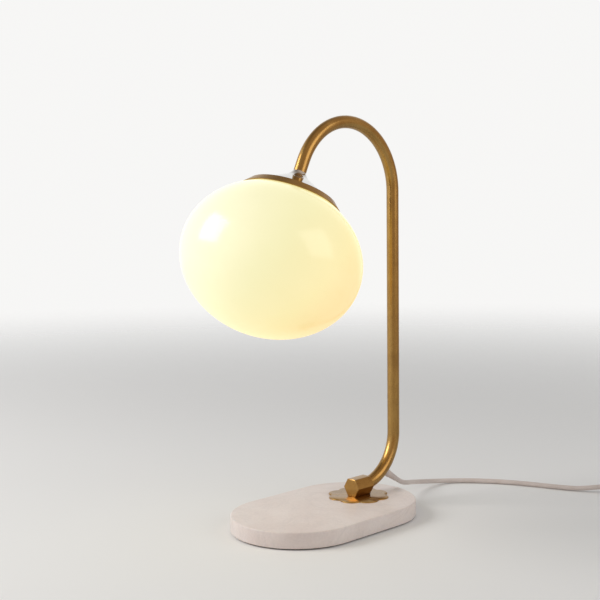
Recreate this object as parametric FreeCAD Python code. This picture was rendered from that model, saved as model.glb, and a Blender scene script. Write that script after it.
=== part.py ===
import FreeCAD, Part
import os
from math import asin, cos, pi, radians, sin, sqrt, tan

V = FreeCAD.Vector
UP = V(0, 0, 1)

# Driving dimensions, in millimetres and degrees.
# The origin is the middle of the face that the lamp stands on. X runs along the foot, Z is up.

# Foot
PAD_THICKNESS = 1.0
PAD_INSET = 3.0
STONE_LENGTH = 210.0
STONE_WIDTH = 133.0
STONE_THICKNESS = 16.0
STONE_EDGE = 1.6
FOOT_X = 50.0
PLATE_THICKNESS = 1.0
PLATE_LOBES = 8
PLATE_TIP_RADIUS = 32.0
PLATE_NOTCH_RADIUS = 27.4
PLATE_NOTCH_FILLET = 2.5
BLOCK_ACROSS_FLATS = 18.0
BLOCK_LENGTH = 24.0
BLOCK_FRONT_X = 39.3
BLOCK_CHAMFER = 0.7
BOLT_DIAMETER = 8.0
BOLT_HEAD_FLATS = 13.0
BOLT_HEAD_HEIGHT = 5.3
WASHER_DIAMETER = 20.0
WASHER_THICKNESS = 1.6
COUNTERBORE_DIAMETER = 23.0
COUNTERBORE_DEPTH = 7.5
BOLT_TIP_DEPTH = 11.0
HOLE_CLEARANCE = 0.1

# Arm: one bent tube
TUBE_DIAMETER = 12.7
TUBE_BORE = 10.0
TUBE_START_X = 56.5
FOOT_BEND_RADIUS = 50.0
STEM_TOP = 330.0
ARCH_RADIUS = 69.5
ARCH_TURN = 154.6

# Head, measured along the end of the tube from the middle of the glass
GLOBE_CENTRE = V(-70.0, 0, 266.8)
HEAD_TILT = 180.0 - ARCH_TURN
GLOBE_RADIUS = 87.4
GLOBE_HALF_HEIGHT = 73.2
GLASS_WALL = 2.5
GLASS_GORES = 8
MOUTH_RADIUS = 24.3
LIP_RADIUS = 27.0
LIP_TOP = 71.4
GLASS_CLEARANCE = 0.3
RING_FOOT_RADIUS = 50.0
RING_TOP_RADIUS = 43.4
RING_BORE_RADIUS = 42.1
RING_TOP = 68.4
GALLERY_TOP = 73.5
GALLERY_SHEET = 1.0
CONE_FOOT_RADIUS = 41.9
CONE_FOOT = 66.8
CONE_WAIST_RADIUS = 16.7
CONE_WAIST = 81.9
CONE_TOP = 91.0
CONE_SHEET = 0.8
TUBE_END = 78.0
CLIP_COUNT = 3
CLIP_WIDTH = 8.0
CLIP_THICKNESS = 0.8
CLIP_RADIUS = 23.0
CLIP_BOTTOM = 57.0

# Lampholder and bulb, on the same line
NIPPLE_DIAMETER = 9.9
NIPPLE_BORE = 7.0
NIPPLE_BOTTOM = 67.5
NIPPLE_TOP = 92.0
NUT_FLATS = 14.0
HOLDER_RADIUS = 14.0
HOLDER_JOINT = 60.0
HOLDER_MOUTH = 40.0
HOLDER_WALL = 2.0
SHELL_RADIUS = 7.8
SHELL_BORE_RADIUS = 7.1
BULB_CAP_RADIUS = 6.9
BULB_RADIUS = 22.5
BULB_CENTRE = 5.0
BULB_SPLIT = 17.0

# Flex, switch and plug
FLEX_DIAMETER = 5.2
FLEX_LEAD = 1800.0
ARC_SHARE = 0.45
BUSH_BASE_DIAMETER = 7.8
BUSH_TIP_DIAMETER = 6.2
BUSH_OUTSIDE = 20.0
BUSH_INSIDE = 3.0
CORE_DIAMETER = 2.0
CORE_SPACING = 2.3
SWITCH_LENGTH = 58.0
SWITCH_WIDTH = 27.0
SWITCH_HEIGHT = 17.0
SWITCH_AXIS_HEIGHT = 8.5
SWITCH_WALL = 1.8
SWITCH_EDGE = 3.0
SLEEVE_LENGTH = 20.0
SLEEVE_OUTSIDE = 14.0
SLEEVE_BASE_DIAMETER = 8.6
SLEEVE_TIP_DIAMETER = 6.4
ROCKER_LENGTH = 20.0
ROCKER_WIDTH = 11.0
ROCKER_TILT = 8.0
ROCKER_PIN_DIAMETER = 2.0
ROCKER_PIN_HEIGHT = 12.6
ROCKER_GAP = 0.4
COIL_CENTRE = V(262.0, -268.95, 3.9)
COIL_INNER_RADIUS = 22.6
COIL_PITCH = 5.7
COIL_HALF_TURNS = 12
PLUG_WIDTH = 33.0
PLUG_THICKNESS = 13.6
PLUG_LENGTH = 34.0
PLUG_SLEEVE = 24.0
PIN_DIAMETER = 4.0
PIN_LENGTH = 19.0
PIN_SPACING = 18.8
PIN_SLEEVE_LENGTH = 10.0

# The flex's route past the bush, chosen by hand: down to the table, off to the right, to the switch
LEAD_ROUTE = [
    V(110.5, 0, 23.7), V(118.6, 0, 18.7), V(130, 2.4, 15.2), V(146, 8, 12.0), V(165.5, 11, 8.2),
    V(186, 10.5, 5.0), V(203, 5.5, 3.1), V(218, -6.5, 2.7), V(231.5, -23.5, 2.7), V(243.5, -42.5, 2.7),
    V(252.5, -62.5, 2.7), V(259.5, -83, 2.7), V(266, -104, 2.7), V(273.5, -124, 3.1),
    V(281.5, -139.5, 5.8), V(289.9, -156.6, 8.5),
]
SWITCH_CENTRE = V(309, -205, SWITCH_AXIS_HEIGHT)
SWITCH_HEADING = -68.5
MID_ROUTE = [
    V(328.1, -253.5, 8.5), V(332, -266.5, 6.2), V(331.8, -283.5, 4.2), V(322, -299, 3.9),
    V(303.5, -307.6, 3.9), V(284.6, -305.8, 3.9),
]
TAIL_ROUTE = [
    V(243.5, -305.8, 9.6), V(225, -305.3, 8.3), V(204, -303.8, 7.1), V(184, -301.8, 6.8),
    V(164.5, -300.6, 6.8),
]

PAD_TOP = PAD_THICKNESS
STONE_TOP = PAD_TOP + STONE_THICKNESS
PLATE_TOP = STONE_TOP + PLATE_THICKNESS
BLOCK_TOP = PLATE_TOP + BLOCK_ACROSS_FLATS
TUBE_AXIS_HEIGHT = PLATE_TOP + BLOCK_ACROSS_FLATS / 2
STEM_X = TUBE_START_X + FOOT_BEND_RADIUS
FOOT_BEND_CENTRE = V(TUBE_START_X, 0, TUBE_AXIS_HEIGHT + FOOT_BEND_RADIUS)
ARCH_CENTRE = V(STEM_X - ARCH_RADIUS, 0, STEM_TOP)
HEAD_AXIS = V(sin(radians(HEAD_TILT)), 0, cos(radians(HEAD_TILT)))


def save(name, shape):
    """Write one named piece."""
    shape.exportStep("parts/" + name + ".step")


def polygon_face(points):
    """Face inside a closed outline of straight lines."""
    return Part.Face(Part.makePolygon(points + points[:1]))


def turned(outline):
    """Solid of revolution about Z, from (radius, height) corners of its section."""
    face = polygon_face([V(radius, 0, height) for radius, height in outline])
    return face.revolve(V(), UP, 360)


def ring(outer_radius, inner_radius, bottom, top):
    return turned([(inner_radius, bottom), (outer_radius, bottom), (outer_radius, top), (inner_radius, top)])


def hexagon_bar(across_flats, bottom, top):
    """Hexagonal prism along Z, with two of its flats facing +X and -X."""
    corner_radius = across_flats / sqrt(3)
    corners = [V(corner_radius * cos(pi / 6 + k * pi / 3), corner_radius * sin(pi / 6 + k * pi / 3), bottom)
               for k in range(6)]
    return polygon_face(corners).extrude(UP * (top - bottom))


def stadium(length, width, bottom, height):
    """Slab with two straight sides and half-round ends."""
    radius = width / 2
    end = length / 2 - radius
    edges = [
        Part.LineSegment(V(-end, -radius, bottom), V(end, -radius, bottom)).toShape(),
        Part.Arc(V(end, -radius, bottom), V(end + radius, 0, bottom), V(end, radius, bottom)).toShape(),
        Part.LineSegment(V(end, radius, bottom), V(-end, radius, bottom)).toShape(),
        Part.Arc(V(-end, radius, bottom), V(-end - radius, 0, bottom), V(-end, -radius, bottom)).toShape(),
    ]
    return Part.Face(Part.Wire(edges)).extrude(UP * height)


def edges_at_height(shape, height):
    return [edge for edge in shape.Edges
            if abs(edge.BoundBox.ZMin - height) < 1e-4 and abs(edge.BoundBox.ZMax - height) < 1e-4]


def swept_round(path_edges, diameter):
    """Round bar along a path of tangent lines and arcs."""
    path = Part.Wire(path_edges)
    first = path_edges[0]
    start = first.valueAt(first.FirstParameter)
    heading = first.tangentAt(first.FirstParameter)
    section = Part.Wire(Part.makeCircle(diameter / 2, start, heading))
    return path.makePipeShell([section], True, False)


def in_head(shape):
    """Move a piece made upright at the origin to the head: Z becomes the line of the tube's end."""
    place = FreeCAD.Placement(GLOBE_CENTRE, FreeCAD.Rotation(V(0, 1, 0), HEAD_TILT))
    return shape.transformed(place.toMatrix())


# Foot: pad, stone, scalloped plate, hexagonal block and the bolt that holds them

def base_pad():
    return stadium(STONE_LENGTH - 2 * PAD_INSET, STONE_WIDTH - 2 * PAD_INSET, 0, PAD_THICKNESS)


def marble_base():
    """Slab with eased edges, bored and counterbored from below for the bolt."""
    slab = stadium(STONE_LENGTH, STONE_WIDTH, PAD_TOP, STONE_THICKNESS)
    eased = edges_at_height(slab, PAD_TOP) + edges_at_height(slab, STONE_TOP)
    slab = slab.makeFillet(STONE_EDGE, eased)
    bore = Part.makeCylinder(BOLT_DIAMETER / 2 + 0.5, STONE_THICKNESS, V(FOOT_X, 0, PAD_TOP))
    pocket = Part.makeCylinder(COUNTERBORE_DIAMETER / 2, COUNTERBORE_DEPTH, V(FOOT_X, 0, PAD_TOP))
    return slab.cut(bore.fuse(pocket))


def foot_plate():
    """Thin plate with round lobes, and soft notches between them."""
    step = 2 * pi / PLATE_LOBES
    arcs = []
    for lobe in range(PLATE_LOBES):
        start, tip, end = [
            V(FOOT_X + radius * cos(angle), radius * sin(angle), STONE_TOP)
            for radius, angle in ((PLATE_NOTCH_RADIUS, lobe * step),
                                  (PLATE_TIP_RADIUS, (lobe + 0.5) * step),
                                  (PLATE_NOTCH_RADIUS, (lobe + 1) * step))
        ]
        arcs.append(Part.Arc(start, tip, end).toShape())
    plate = Part.Face(Part.Wire(arcs)).extrude(UP * PLATE_THICKNESS)
    notches = [edge for edge in plate.Edges
               if abs(edge.BoundBox.ZLength - PLATE_THICKNESS) < 1e-4]
    plate = plate.makeFillet(PLATE_NOTCH_FILLET, notches)
    hole = Part.makeCylinder(BOLT_DIAMETER / 2 + 0.3, PLATE_THICKNESS, V(FOOT_X, 0, STONE_TOP))
    return plate.cut(hole)


def foot_block():
    """Hexagonal bar lying along X: chamfered ends, a seat for the tube and a tapped hole below."""
    corner_radius = BLOCK_ACROSS_FLATS / sqrt(3)
    bar = hexagon_bar(BLOCK_ACROSS_FLATS, 0, BLOCK_LENGTH)
    rounding = turned([
        (0, 0), (corner_radius - BLOCK_CHAMFER, 0), (corner_radius + 0.1, BLOCK_CHAMFER),
        (corner_radius + 0.1, BLOCK_LENGTH - BLOCK_CHAMFER), (corner_radius - BLOCK_CHAMFER, BLOCK_LENGTH),
        (0, BLOCK_LENGTH),
    ])
    bar = bar.common(rounding)
    lying = FreeCAD.Placement(V(BLOCK_FRONT_X, 0, TUBE_AXIS_HEIGHT), FreeCAD.Rotation(V(0, 1, 0), 90))
    bar = bar.transformed(lying.toMatrix())
    tapped = Part.makeCylinder(BOLT_DIAMETER / 2, BOLT_TIP_DEPTH + 0.8, V(FOOT_X, 0, PLATE_TOP))
    return bar.cut(tapped).cut(arm_outside())


def base_bolt():
    head_bottom = PAD_TOP + COUNTERBORE_DEPTH - WASHER_THICKNESS - BOLT_HEAD_HEIGHT
    head_top = head_bottom + BOLT_HEAD_HEIGHT
    head = hexagon_bar(BOLT_HEAD_FLATS, head_bottom, head_top)
    shank = Part.makeCylinder(BOLT_DIAMETER / 2 - HOLE_CLEARANCE, PLATE_TOP + BOLT_TIP_DEPTH - head_bottom,
                              V(0, 0, head_bottom))
    bolt = head.fuse(shank)
    bolt.translate(V(FOOT_X, 0, 0))
    return bolt


def bolt_washer():
    top = PAD_TOP + COUNTERBORE_DEPTH
    washer = ring(WASHER_DIAMETER / 2, BOLT_DIAMETER / 2 + 0.2, top - WASHER_THICKNESS, top)
    washer.translate(V(FOOT_X, 0, 0))
    return washer


# Arm

def head_point(height):
    """Point on the head's line, measured from the middle of the glass."""
    return GLOBE_CENTRE + HEAD_AXIS * height


def foot_bend_point(angle):
    """Point of the foot bend's centre line: -90 is at the block, 0 is at the stem."""
    return FOOT_BEND_CENTRE + V(cos(radians(angle)), 0, sin(radians(angle))) * FOOT_BEND_RADIUS


def arch_point(angle):
    """Point of the arch's centre line: 0 is at the stem."""
    return ARCH_CENTRE + V(cos(radians(angle)), 0, sin(radians(angle))) * ARCH_RADIUS


def arm_centre_line():
    """Foot bend, stem, arch and straight end, each tangent to the next."""
    arch_end = arch_point(ARCH_TURN)
    tail_end = arch_end - HEAD_AXIS * ((arch_end - GLOBE_CENTRE).dot(HEAD_AXIS) - TUBE_END)
    return [
        Part.Arc(foot_bend_point(-90), foot_bend_point(-45), foot_bend_point(0)).toShape(),
        Part.LineSegment(foot_bend_point(0), arch_point(0)).toShape(),
        Part.Arc(arch_point(0), arch_point(ARCH_TURN / 2), arch_end).toShape(),
        Part.LineSegment(arch_end, tail_end).toShape(),
    ]


def arm_outside():
    return swept_round(arm_centre_line(), TUBE_DIAMETER)


def bush_axis():
    """Unit vector along the flex where it leaves the tube."""
    return (LEAD_ROUTE[1] - LEAD_ROUTE[0]).normalize()


def arm_tube():
    """Bent tube, bored through, with a hole for the flex in the back of its foot bend."""
    tube = arm_outside().cut(swept_round(arm_centre_line(), TUBE_BORE))
    hole = Part.makeCylinder(BUSH_BASE_DIAMETER / 2 + 0.1, BUSH_OUTSIDE, LEAD_ROUTE[0] - bush_axis() * 26.0,
                             bush_axis())
    return tube.cut(hole)


def cord_bush():
    """Tapered strain relief moulded on the flex, with a plain tail inside the tube's wall."""
    base = LEAD_ROUTE[0] - bush_axis() * BUSH_OUTSIDE
    sleeve = Part.makeCone(BUSH_BASE_DIAMETER / 2, BUSH_TIP_DIAMETER / 2, BUSH_OUTSIDE, base, bush_axis())
    plug = Part.makeCylinder(BUSH_BASE_DIAMETER / 2, BUSH_INSIDE, base - bush_axis() * BUSH_INSIDE,
                             bush_axis())
    return sleeve.fuse(plug)


def tangent_route(points):
    """Edges of straight runs joined by arcs, each arc as large as its two runs allow, and the radii."""
    edges = []
    radii = []
    run_start = points[0]
    for before, corner, after in zip(points, points[1:], points[2:]):
        way_in = (corner - before).normalize()
        way_out = (after - corner).normalize()
        reach = ARC_SHARE * min((corner - before).Length, (after - corner).Length)
        half_turn = way_in.getAngle(way_out) / 2
        radius = reach / tan(half_turn)
        inward = (way_out - way_in).normalize()
        arc_start = corner - way_in * reach
        arc_end = corner + way_out * reach
        arc_middle = corner + inward * (radius / cos(half_turn) - radius)
        edges.append(Part.LineSegment(run_start, arc_start).toShape())
        edges.append(Part.Arc(arc_start, arc_middle, arc_end).toShape())
        radii.append(radius)
        run_start = arc_end
    edges.append(Part.LineSegment(run_start, points[-1]).toShape())
    return edges, radii


def arm_cores():
    """The flex's two cores, from the bush up inside the tube to the lampholder."""
    bush_end = LEAD_ROUTE[0] - bush_axis() * (BUSH_OUTSIDE + BUSH_INSIDE)
    route = [bush_end, bush_end - bush_axis() * 6.0, foot_bend_point(-37), foot_bend_point(-22),
             foot_bend_point(-4), V(STEM_X + 0.5, 0, 120), V(STEM_X - 0.5, 0, 170), V(STEM_X + 0.4, 0, 225),
             V(STEM_X - 0.3, 0, 280)]
    route += [arch_point(angle) for angle in (4, 26, 48, 70, 92, 114, 136, 152)]
    route += [head_point(96), head_point(NIPPLE_BOTTOM) + V(0.4, 0, 0)]
    edges, _ = tangent_route(route)
    core = swept_round(edges, CORE_DIAMETER)
    other = core.copy()
    core.translate(V(0, CORE_SPACING / 2, 0))
    other.translate(V(0, -CORE_SPACING / 2, 0))
    return Part.makeCompound([core, other])


# Head: cone, gallery, glass

def glass_height(radius):
    """Height of the glass's outside at a distance from its axis."""
    return GLOBE_HALF_HEIGHT * sqrt(1 - (radius / GLOBE_RADIUS) ** 2)


def spheroid_arc(radius, half_height, mouth_radius):
    """Section of the glass from its bottom pole to its mouth."""
    ellipse = Part.Ellipse(V(radius, 0, 0), V(0, 0, half_height), V())
    mouth = pi / 2 - asin(mouth_radius / radius)
    side = 1 if ellipse.value(pi / 2).z > 0 else -1
    ends = sorted((-side * pi / 2, side * mouth))
    return Part.ArcOfEllipse(ellipse, ends[0], ends[1]).toShape()


def glass_globe():
    """Blown opal glass: a flattened globe with a short lip round its mouth.

    The real one is a single piece. Here it is equal gores that meet face to face, so that the
    collision pieces of each one follow its curve and the inside stays open.
    """
    inner_radius = GLOBE_RADIUS - GLASS_WALL
    inner_half_height = GLOBE_HALF_HEIGHT - GLASS_WALL
    lip_foot = glass_height(LIP_RADIUS)
    mouth_foot = inner_half_height * sqrt(1 - (MOUTH_RADIUS / inner_radius) ** 2)
    section = Part.Wire([
        spheroid_arc(GLOBE_RADIUS, GLOBE_HALF_HEIGHT, LIP_RADIUS),
        Part.LineSegment(V(LIP_RADIUS, 0, lip_foot), V(LIP_RADIUS, 0, LIP_TOP)).toShape(),
        Part.LineSegment(V(LIP_RADIUS, 0, LIP_TOP), V(MOUTH_RADIUS, 0, LIP_TOP)).toShape(),
        Part.LineSegment(V(MOUTH_RADIUS, 0, LIP_TOP), V(MOUTH_RADIUS, 0, mouth_foot)).toShape(),
        spheroid_arc(inner_radius, inner_half_height, MOUTH_RADIUS),
        Part.LineSegment(V(0, 0, -inner_half_height), V(0, 0, -GLOBE_HALF_HEIGHT)).toShape(),
    ])
    turn = 360 / GLASS_GORES
    gores = []
    for k in range(GLASS_GORES):
        gore = Part.Face(section).revolve(V(), UP, turn)
        gore.rotate(V(), UP, (k + 0.5) * turn)
        gores.append(gore)
    return Part.makeCompound(gores)


def over_glass(radius, rise):
    """Point of a section that follows the glass, a little above it."""
    return V(radius, 0, glass_height(radius) + rise)


def gallery_ring():
    """Turned ring on the shoulder of the glass: a sloping band with a rolled top edge."""
    under = GLASS_CLEARANCE + 0.1
    foot = over_glass(RING_FOOT_RADIUS - 0.7, under)
    middle = over_glass(45.7, under)
    inner = over_glass(RING_BORE_RADIUS, under)
    outer_foot = V(RING_FOOT_RADIUS, 0, foot.z + 0.5)
    shoulder = V(RING_TOP_RADIUS + 0.7, 0, RING_TOP - 0.9)
    roll = V(RING_TOP_RADIUS + 0.1, 0, RING_TOP - 0.1)
    crest = V(RING_TOP_RADIUS - 0.7, 0, RING_TOP)
    bore = V(RING_BORE_RADIUS, 0, RING_TOP - 0.4)
    section = Part.Wire([
        Part.Arc(foot, middle, inner).toShape(),
        Part.LineSegment(inner, bore).toShape(),
        Part.LineSegment(bore, crest).toShape(),
        Part.Arc(crest, roll, shoulder).toShape(),
        Part.LineSegment(shoulder, outer_foot).toShape(),
        Part.LineSegment(outer_foot, foot).toShape(),
    ])
    return Part.Face(section).revolve(V(), UP, 360)


def gallery_plate():
    """Pressed plate that carries the ring: a dome over the glass, with a cup over its lip."""
    under = GLASS_CLEARANCE + 0.1
    cup_radius = LIP_RADIUS + 0.9
    edge_radius = RING_BORE_RADIUS
    dome = [over_glass(radius, under) for radius in (edge_radius, 35.5, cup_radius)]
    top_dome = [over_glass(radius, under + GALLERY_SHEET) for radius in (cup_radius + 1.0, 35.5, edge_radius)]
    hole_radius = NIPPLE_DIAMETER / 2 + HOLE_CLEARANCE
    cup_floor = GALLERY_TOP - GALLERY_SHEET
    corners = [dome[2], V(cup_radius, 0, cup_floor), V(hole_radius, 0, cup_floor),
               V(hole_radius, 0, GALLERY_TOP), V(cup_radius + 1.0, 0, GALLERY_TOP), top_dome[0]]
    edges = [Part.Arc(*dome).toShape()]
    edges += [Part.LineSegment(a, b).toShape() for a, b in zip(corners, corners[1:])]
    edges += [Part.Arc(*top_dome).toShape(), Part.LineSegment(top_dome[2], dome[0]).toShape()]
    return Part.Face(Part.Wire(edges)).revolve(V(), UP, 360)


def shade_gasket():
    return ring(LIP_RADIUS + 0.6, MOUTH_RADIUS, LIP_TOP + GLASS_CLEARANCE, GALLERY_TOP - GALLERY_SHEET)


def glass_clips():
    """Spring tongues that reach down through the mouth and grip the lip from inside."""
    top = GALLERY_TOP - GALLERY_SHEET
    clips = []
    for k in range(CLIP_COUNT):
        tongue = Part.makeBox(CLIP_THICKNESS, CLIP_WIDTH, top - CLIP_BOTTOM,
                              V(CLIP_RADIUS - CLIP_THICKNESS / 2, -CLIP_WIDTH / 2, CLIP_BOTTOM))
        foot = Part.makeBox(5.0, CLIP_WIDTH, CLIP_THICKNESS,
                            V(CLIP_RADIUS - 5.0, -CLIP_WIDTH / 2, top - CLIP_THICKNESS))
        clip = tongue.fuse(foot)
        clip.rotate(V(), UP, k * 360 / CLIP_COUNT)
        clips.append(clip)
    return Part.makeCompound(clips)


def shade_cone():
    """Spun bright cone: straight flank, then a concave rise to a neck that grips the tube."""
    neck_bore = TUBE_DIAMETER / 2 + 0.05
    neck = neck_bore + CONE_SHEET
    slope = (CONE_WAIST - CONE_FOOT) / (CONE_FOOT_RADIUS - CONE_WAIST_RADIUS)
    drop = CONE_SHEET * sqrt(1 + slope ** 2)
    flank_foot = V(CONE_FOOT_RADIUS, 0, CONE_FOOT)
    waist = V(CONE_WAIST_RADIUS, 0, CONE_WAIST)
    bell = V(10.2, 0, 86.2)
    shoulder = V(neck, 0, CONE_TOP - 1.0)
    inner_shoulder = V(neck_bore, 0, shoulder.z - 1.4)
    section = Part.Wire([
        Part.LineSegment(flank_foot, waist).toShape(),
        Part.Arc(waist, bell, shoulder).toShape(),
        Part.LineSegment(shoulder, V(neck, 0, CONE_TOP)).toShape(),
        Part.LineSegment(V(neck, 0, CONE_TOP), V(neck_bore, 0, CONE_TOP)).toShape(),
        Part.LineSegment(V(neck_bore, 0, CONE_TOP), inner_shoulder).toShape(),
        Part.Arc(inner_shoulder, bell - V(0.55, 0, 0.85), waist - V(0, 0, drop)).toShape(),
        Part.LineSegment(waist - V(0, 0, drop), flank_foot - V(0, 0, drop)).toShape(),
        Part.LineSegment(flank_foot - V(0, 0, drop), flank_foot).toShape(),
    ])
    return Part.Face(section).revolve(V(), UP, 360)


def arm_nipple():
    return ring(NIPPLE_DIAMETER / 2, NIPPLE_BORE / 2, NIPPLE_BOTTOM, NIPPLE_TOP)


def plate_nut():
    nut = hexagon_bar(NUT_FLATS, GALLERY_TOP, TUBE_END)
    bore = Part.makeCylinder(NIPPLE_DIAMETER / 2 + HOLE_CLEARANCE, TUBE_END - GALLERY_TOP, V(0, 0, GALLERY_TOP))
    return nut.cut(bore)


# Lampholder

def holder_cap():
    """Upper half of the lampholder: a cup with a boss for the nipple."""
    top = GALLERY_TOP - GALLERY_SHEET
    inside = HOLDER_RADIUS - HOLDER_WALL
    bore = NIPPLE_DIAMETER / 2 + HOLE_CLEARANCE
    return turned([
        (inside, HOLDER_JOINT), (HOLDER_RADIUS, HOLDER_JOINT), (HOLDER_RADIUS, top - 4.0),
        (HOLDER_RADIUS - 1.0, top - 1.6), (HOLDER_RADIUS - 4.0, top), (bore, top), (bore, top - 5.0),
        (bore + 1.6, top - 5.0), (bore + 1.6, top - 2.0), (inside, top - 4.6),
    ])


def holder_skirt():
    """Lower half, screwed on the cap: a plain sleeve with a rounded mouth."""
    inside = HOLDER_RADIUS - HOLDER_WALL
    return turned([
        (inside, HOLDER_MOUTH + 0.6), (inside + 0.6, HOLDER_MOUTH), (HOLDER_RADIUS - 0.8, HOLDER_MOUTH),
        (HOLDER_RADIUS, HOLDER_MOUTH + 0.8), (HOLDER_RADIUS, HOLDER_JOINT), (inside, HOLDER_JOINT),
    ])


def holder_insert():
    """Ceramic core, clamped between cap and skirt, with pockets for the terminals."""
    bottom = HOLDER_JOINT - 2.5
    core = Part.makeCylinder(HOLDER_RADIUS - HOLDER_WALL, 6.0, V(0, 0, bottom))
    contact_well = Part.makeCylinder(4.2, 4.6, V(0, 0, bottom))
    slots = [Part.makeBox(4.4, 5.0, 3.2, V(x - 2.2, -2.5, bottom + 3.0)) for x in (-8.6, 8.6)]
    return core.cut(contact_well).cut(slots[0]).cut(slots[1])


def contact_shell():
    """Threaded shell that takes the bulb's cap."""
    return ring(SHELL_RADIUS, SHELL_BORE_RADIUS, HOLDER_MOUTH + 1.0, HOLDER_JOINT - 2.5)


def centre_contact():
    """Spring tongue in the well of the ceramic core."""
    top = HOLDER_JOINT + 2.1
    tongue = polygon_face([V(-3.6, -1.6, top), V(-3.6, -1.6, top - 0.5), V(-1.0, -1.6, top - 0.5),
                           V(1.2, -1.6, top - 1.6), V(3.0, -1.6, top - 1.2), V(3.0, -1.6, top - 0.8),
                           V(1.3, -1.6, top - 1.1), V(-0.8, -1.6, top)])
    return tongue.extrude(V(0, 3.2, 0))


def terminal_screws():
    """Two screws in the core's pockets."""
    screws = []
    for side in (-1, 1):
        head = Part.makeCylinder(1.9, 1.4, V(side * 8.6, 0, HOLDER_JOINT + 2.0))
        shank = Part.makeCylinder(1.2, 1.5, V(side * 8.6, 0, HOLDER_JOINT + 0.5))
        screws.append(head.fuse(shank))
    return Part.makeCompound(screws)


# Bulb

def bulb_cap():
    """Metal screw cap, open at the housing's end."""
    top = HOLDER_JOINT - 3.2
    return turned([
        (BULB_CAP_RADIUS - 0.5, HOLDER_MOUTH - 0.6), (BULB_CAP_RADIUS, HOLDER_MOUTH - 0.6),
        (BULB_CAP_RADIUS, top - 2.4), (4.4, top), (3.6, top), (BULB_CAP_RADIUS - 0.5, top - 2.6),
    ])


def bulb_tip():
    """Black insulator with the round centre contact."""
    foot = HOLDER_JOINT - 3.2
    return turned([(0, foot - 0.6), (3.6, foot - 0.6), (3.6, foot), (2.6, foot + 2.0), (1.4, foot + 2.8),
                   (0, foot + 2.9)])


def bulb_housing():
    """Flared driver housing between the cap and the diffuser."""
    top = HOLDER_MOUTH - 0.6
    foot_radius = sqrt(BULB_RADIUS ** 2 - (BULB_SPLIT - BULB_CENTRE) ** 2)
    return turned([
        (5.0, top), (9.6, top), (10.4, top - 1.2), (13.6, top - 9.0), (17.2, top - 16.5),
        (foot_radius, BULB_SPLIT), (foot_radius - 1.8, BULB_SPLIT), (15.6, top - 16.0), (12.0, top - 8.4),
        (9.0, top - 2.4), (5.0, top - 1.4),
    ])


def bulb_diffuser():
    """Hollow ball, cut where the housing starts."""
    ball = Part.makeSphere(BULB_RADIUS, V(0, 0, BULB_CENTRE))
    hollow = Part.makeSphere(BULB_RADIUS - 1.2, V(0, 0, BULB_CENTRE))
    above = Part.makeCylinder(BULB_RADIUS + 1, BULB_RADIUS, V(0, 0, BULB_SPLIT))
    return ball.cut(hollow).cut(above)


# Flex

def heading(degrees):
    return V(cos(radians(degrees)), sin(radians(degrees)), 0)


def switch_end(side):
    """Tip of one of the switch's sleeves: -1 is towards the lamp, 1 is towards the plug."""
    return SWITCH_CENTRE + heading(SWITCH_HEADING) * (side * (SWITCH_LENGTH / 2 + SLEEVE_OUTSIDE))


def flex_tube(name, points):
    """Round tube on a route of runs and tangent arcs. Prints its radii, and checks its volume."""
    edges, radii = tangent_route(points)
    tube = swept_round(edges, FLEX_DIAMETER)
    length = sum(edge.Length for edge in edges)
    section = pi * FLEX_DIAMETER ** 2 / 4
    print("%s: length %.1f mm, volume over section times length %.4f, bend radii %s" % (
        name, length, tube.Volume / (section * length), ", ".join("%.0f" % radius for radius in radii)))
    return tube, length


def coil_radii():
    """Radius of each half turn: in to the climb, then out again by the same steps."""
    climb = COIL_HALF_TURNS // 2 - 1
    return [COIL_INNER_RADIUS + abs(k - climb) * COIL_PITCH / 2 for k in range(COIL_HALF_TURNS)], climb


def half_turn(start, side, radius):
    """Level half circle, clockwise from above. Side is 1 where it passes on the -X side."""
    middle = start + V(-side * radius, side * radius, 0)
    end = start + V(0, side * 2 * radius, 0)
    return [Part.Arc(start, middle, end).toShape()], end


def biarc(start, start_way, end, end_way):
    """Two tangent arcs between two points with given headings."""
    chord = end - start
    both = start_way + end_way
    share = 2 * (1 - start_way.dot(end_way))
    reach = (-chord.dot(both) + sqrt(chord.dot(both) ** 2 + share * chord.dot(chord))) / share
    corner_in = start + start_way * reach
    corner_out = end - end_way * reach
    join = (corner_in + corner_out) / 2
    arcs = []
    for first, corner, last in ((start, corner_in, join), (join, corner_out, end)):
        half = (corner - first).getAngle(last - corner) / 2
        chord_middle = (first + last) / 2
        arc_middle = chord_middle + (corner - chord_middle) * (cos(half) / (1 + cos(half)))
        arcs.append(Part.Arc(first, arc_middle, last).toShape())
    return arcs


def climbing_half_turn(start, side, radius, rise):
    """Half turn that rises at a steady rate, as two quarter turns of two arcs each."""
    slope = rise / (pi * radius)
    quarter = start + V(-side * radius, side * radius, rise / 2)
    end = start + V(0, side * 2 * radius, rise)
    ways = [V(-side, 0, slope).normalize(), V(0, side, slope).normalize(), V(side, 0, slope).normalize()]
    return biarc(start, ways[0], quarter, ways[1]) + biarc(quarter, ways[1], end, ways[2]), end


def coil_line():
    """Centre line of the coil: a spiral in, a climb in the innermost half turn, a spiral out above."""
    radii, climb = coil_radii()
    position = COIL_CENTRE + V(0, -radii[0], 0)
    edges = [Part.LineSegment(position + V(FLEX_DIAMETER, 0, 0), position).toShape()]
    for k, radius in enumerate(radii):
        side = 1 if k % 2 == 0 else -1
        if k == climb:
            arcs, position = climbing_half_turn(position, side, radius, COIL_PITCH)
        else:
            arcs, position = half_turn(position, side, radius)
        edges += arcs
    edges.append(Part.LineSegment(position, position + V(-FLEX_DIAMETER, 0, 0)).toShape())
    return edges


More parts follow.
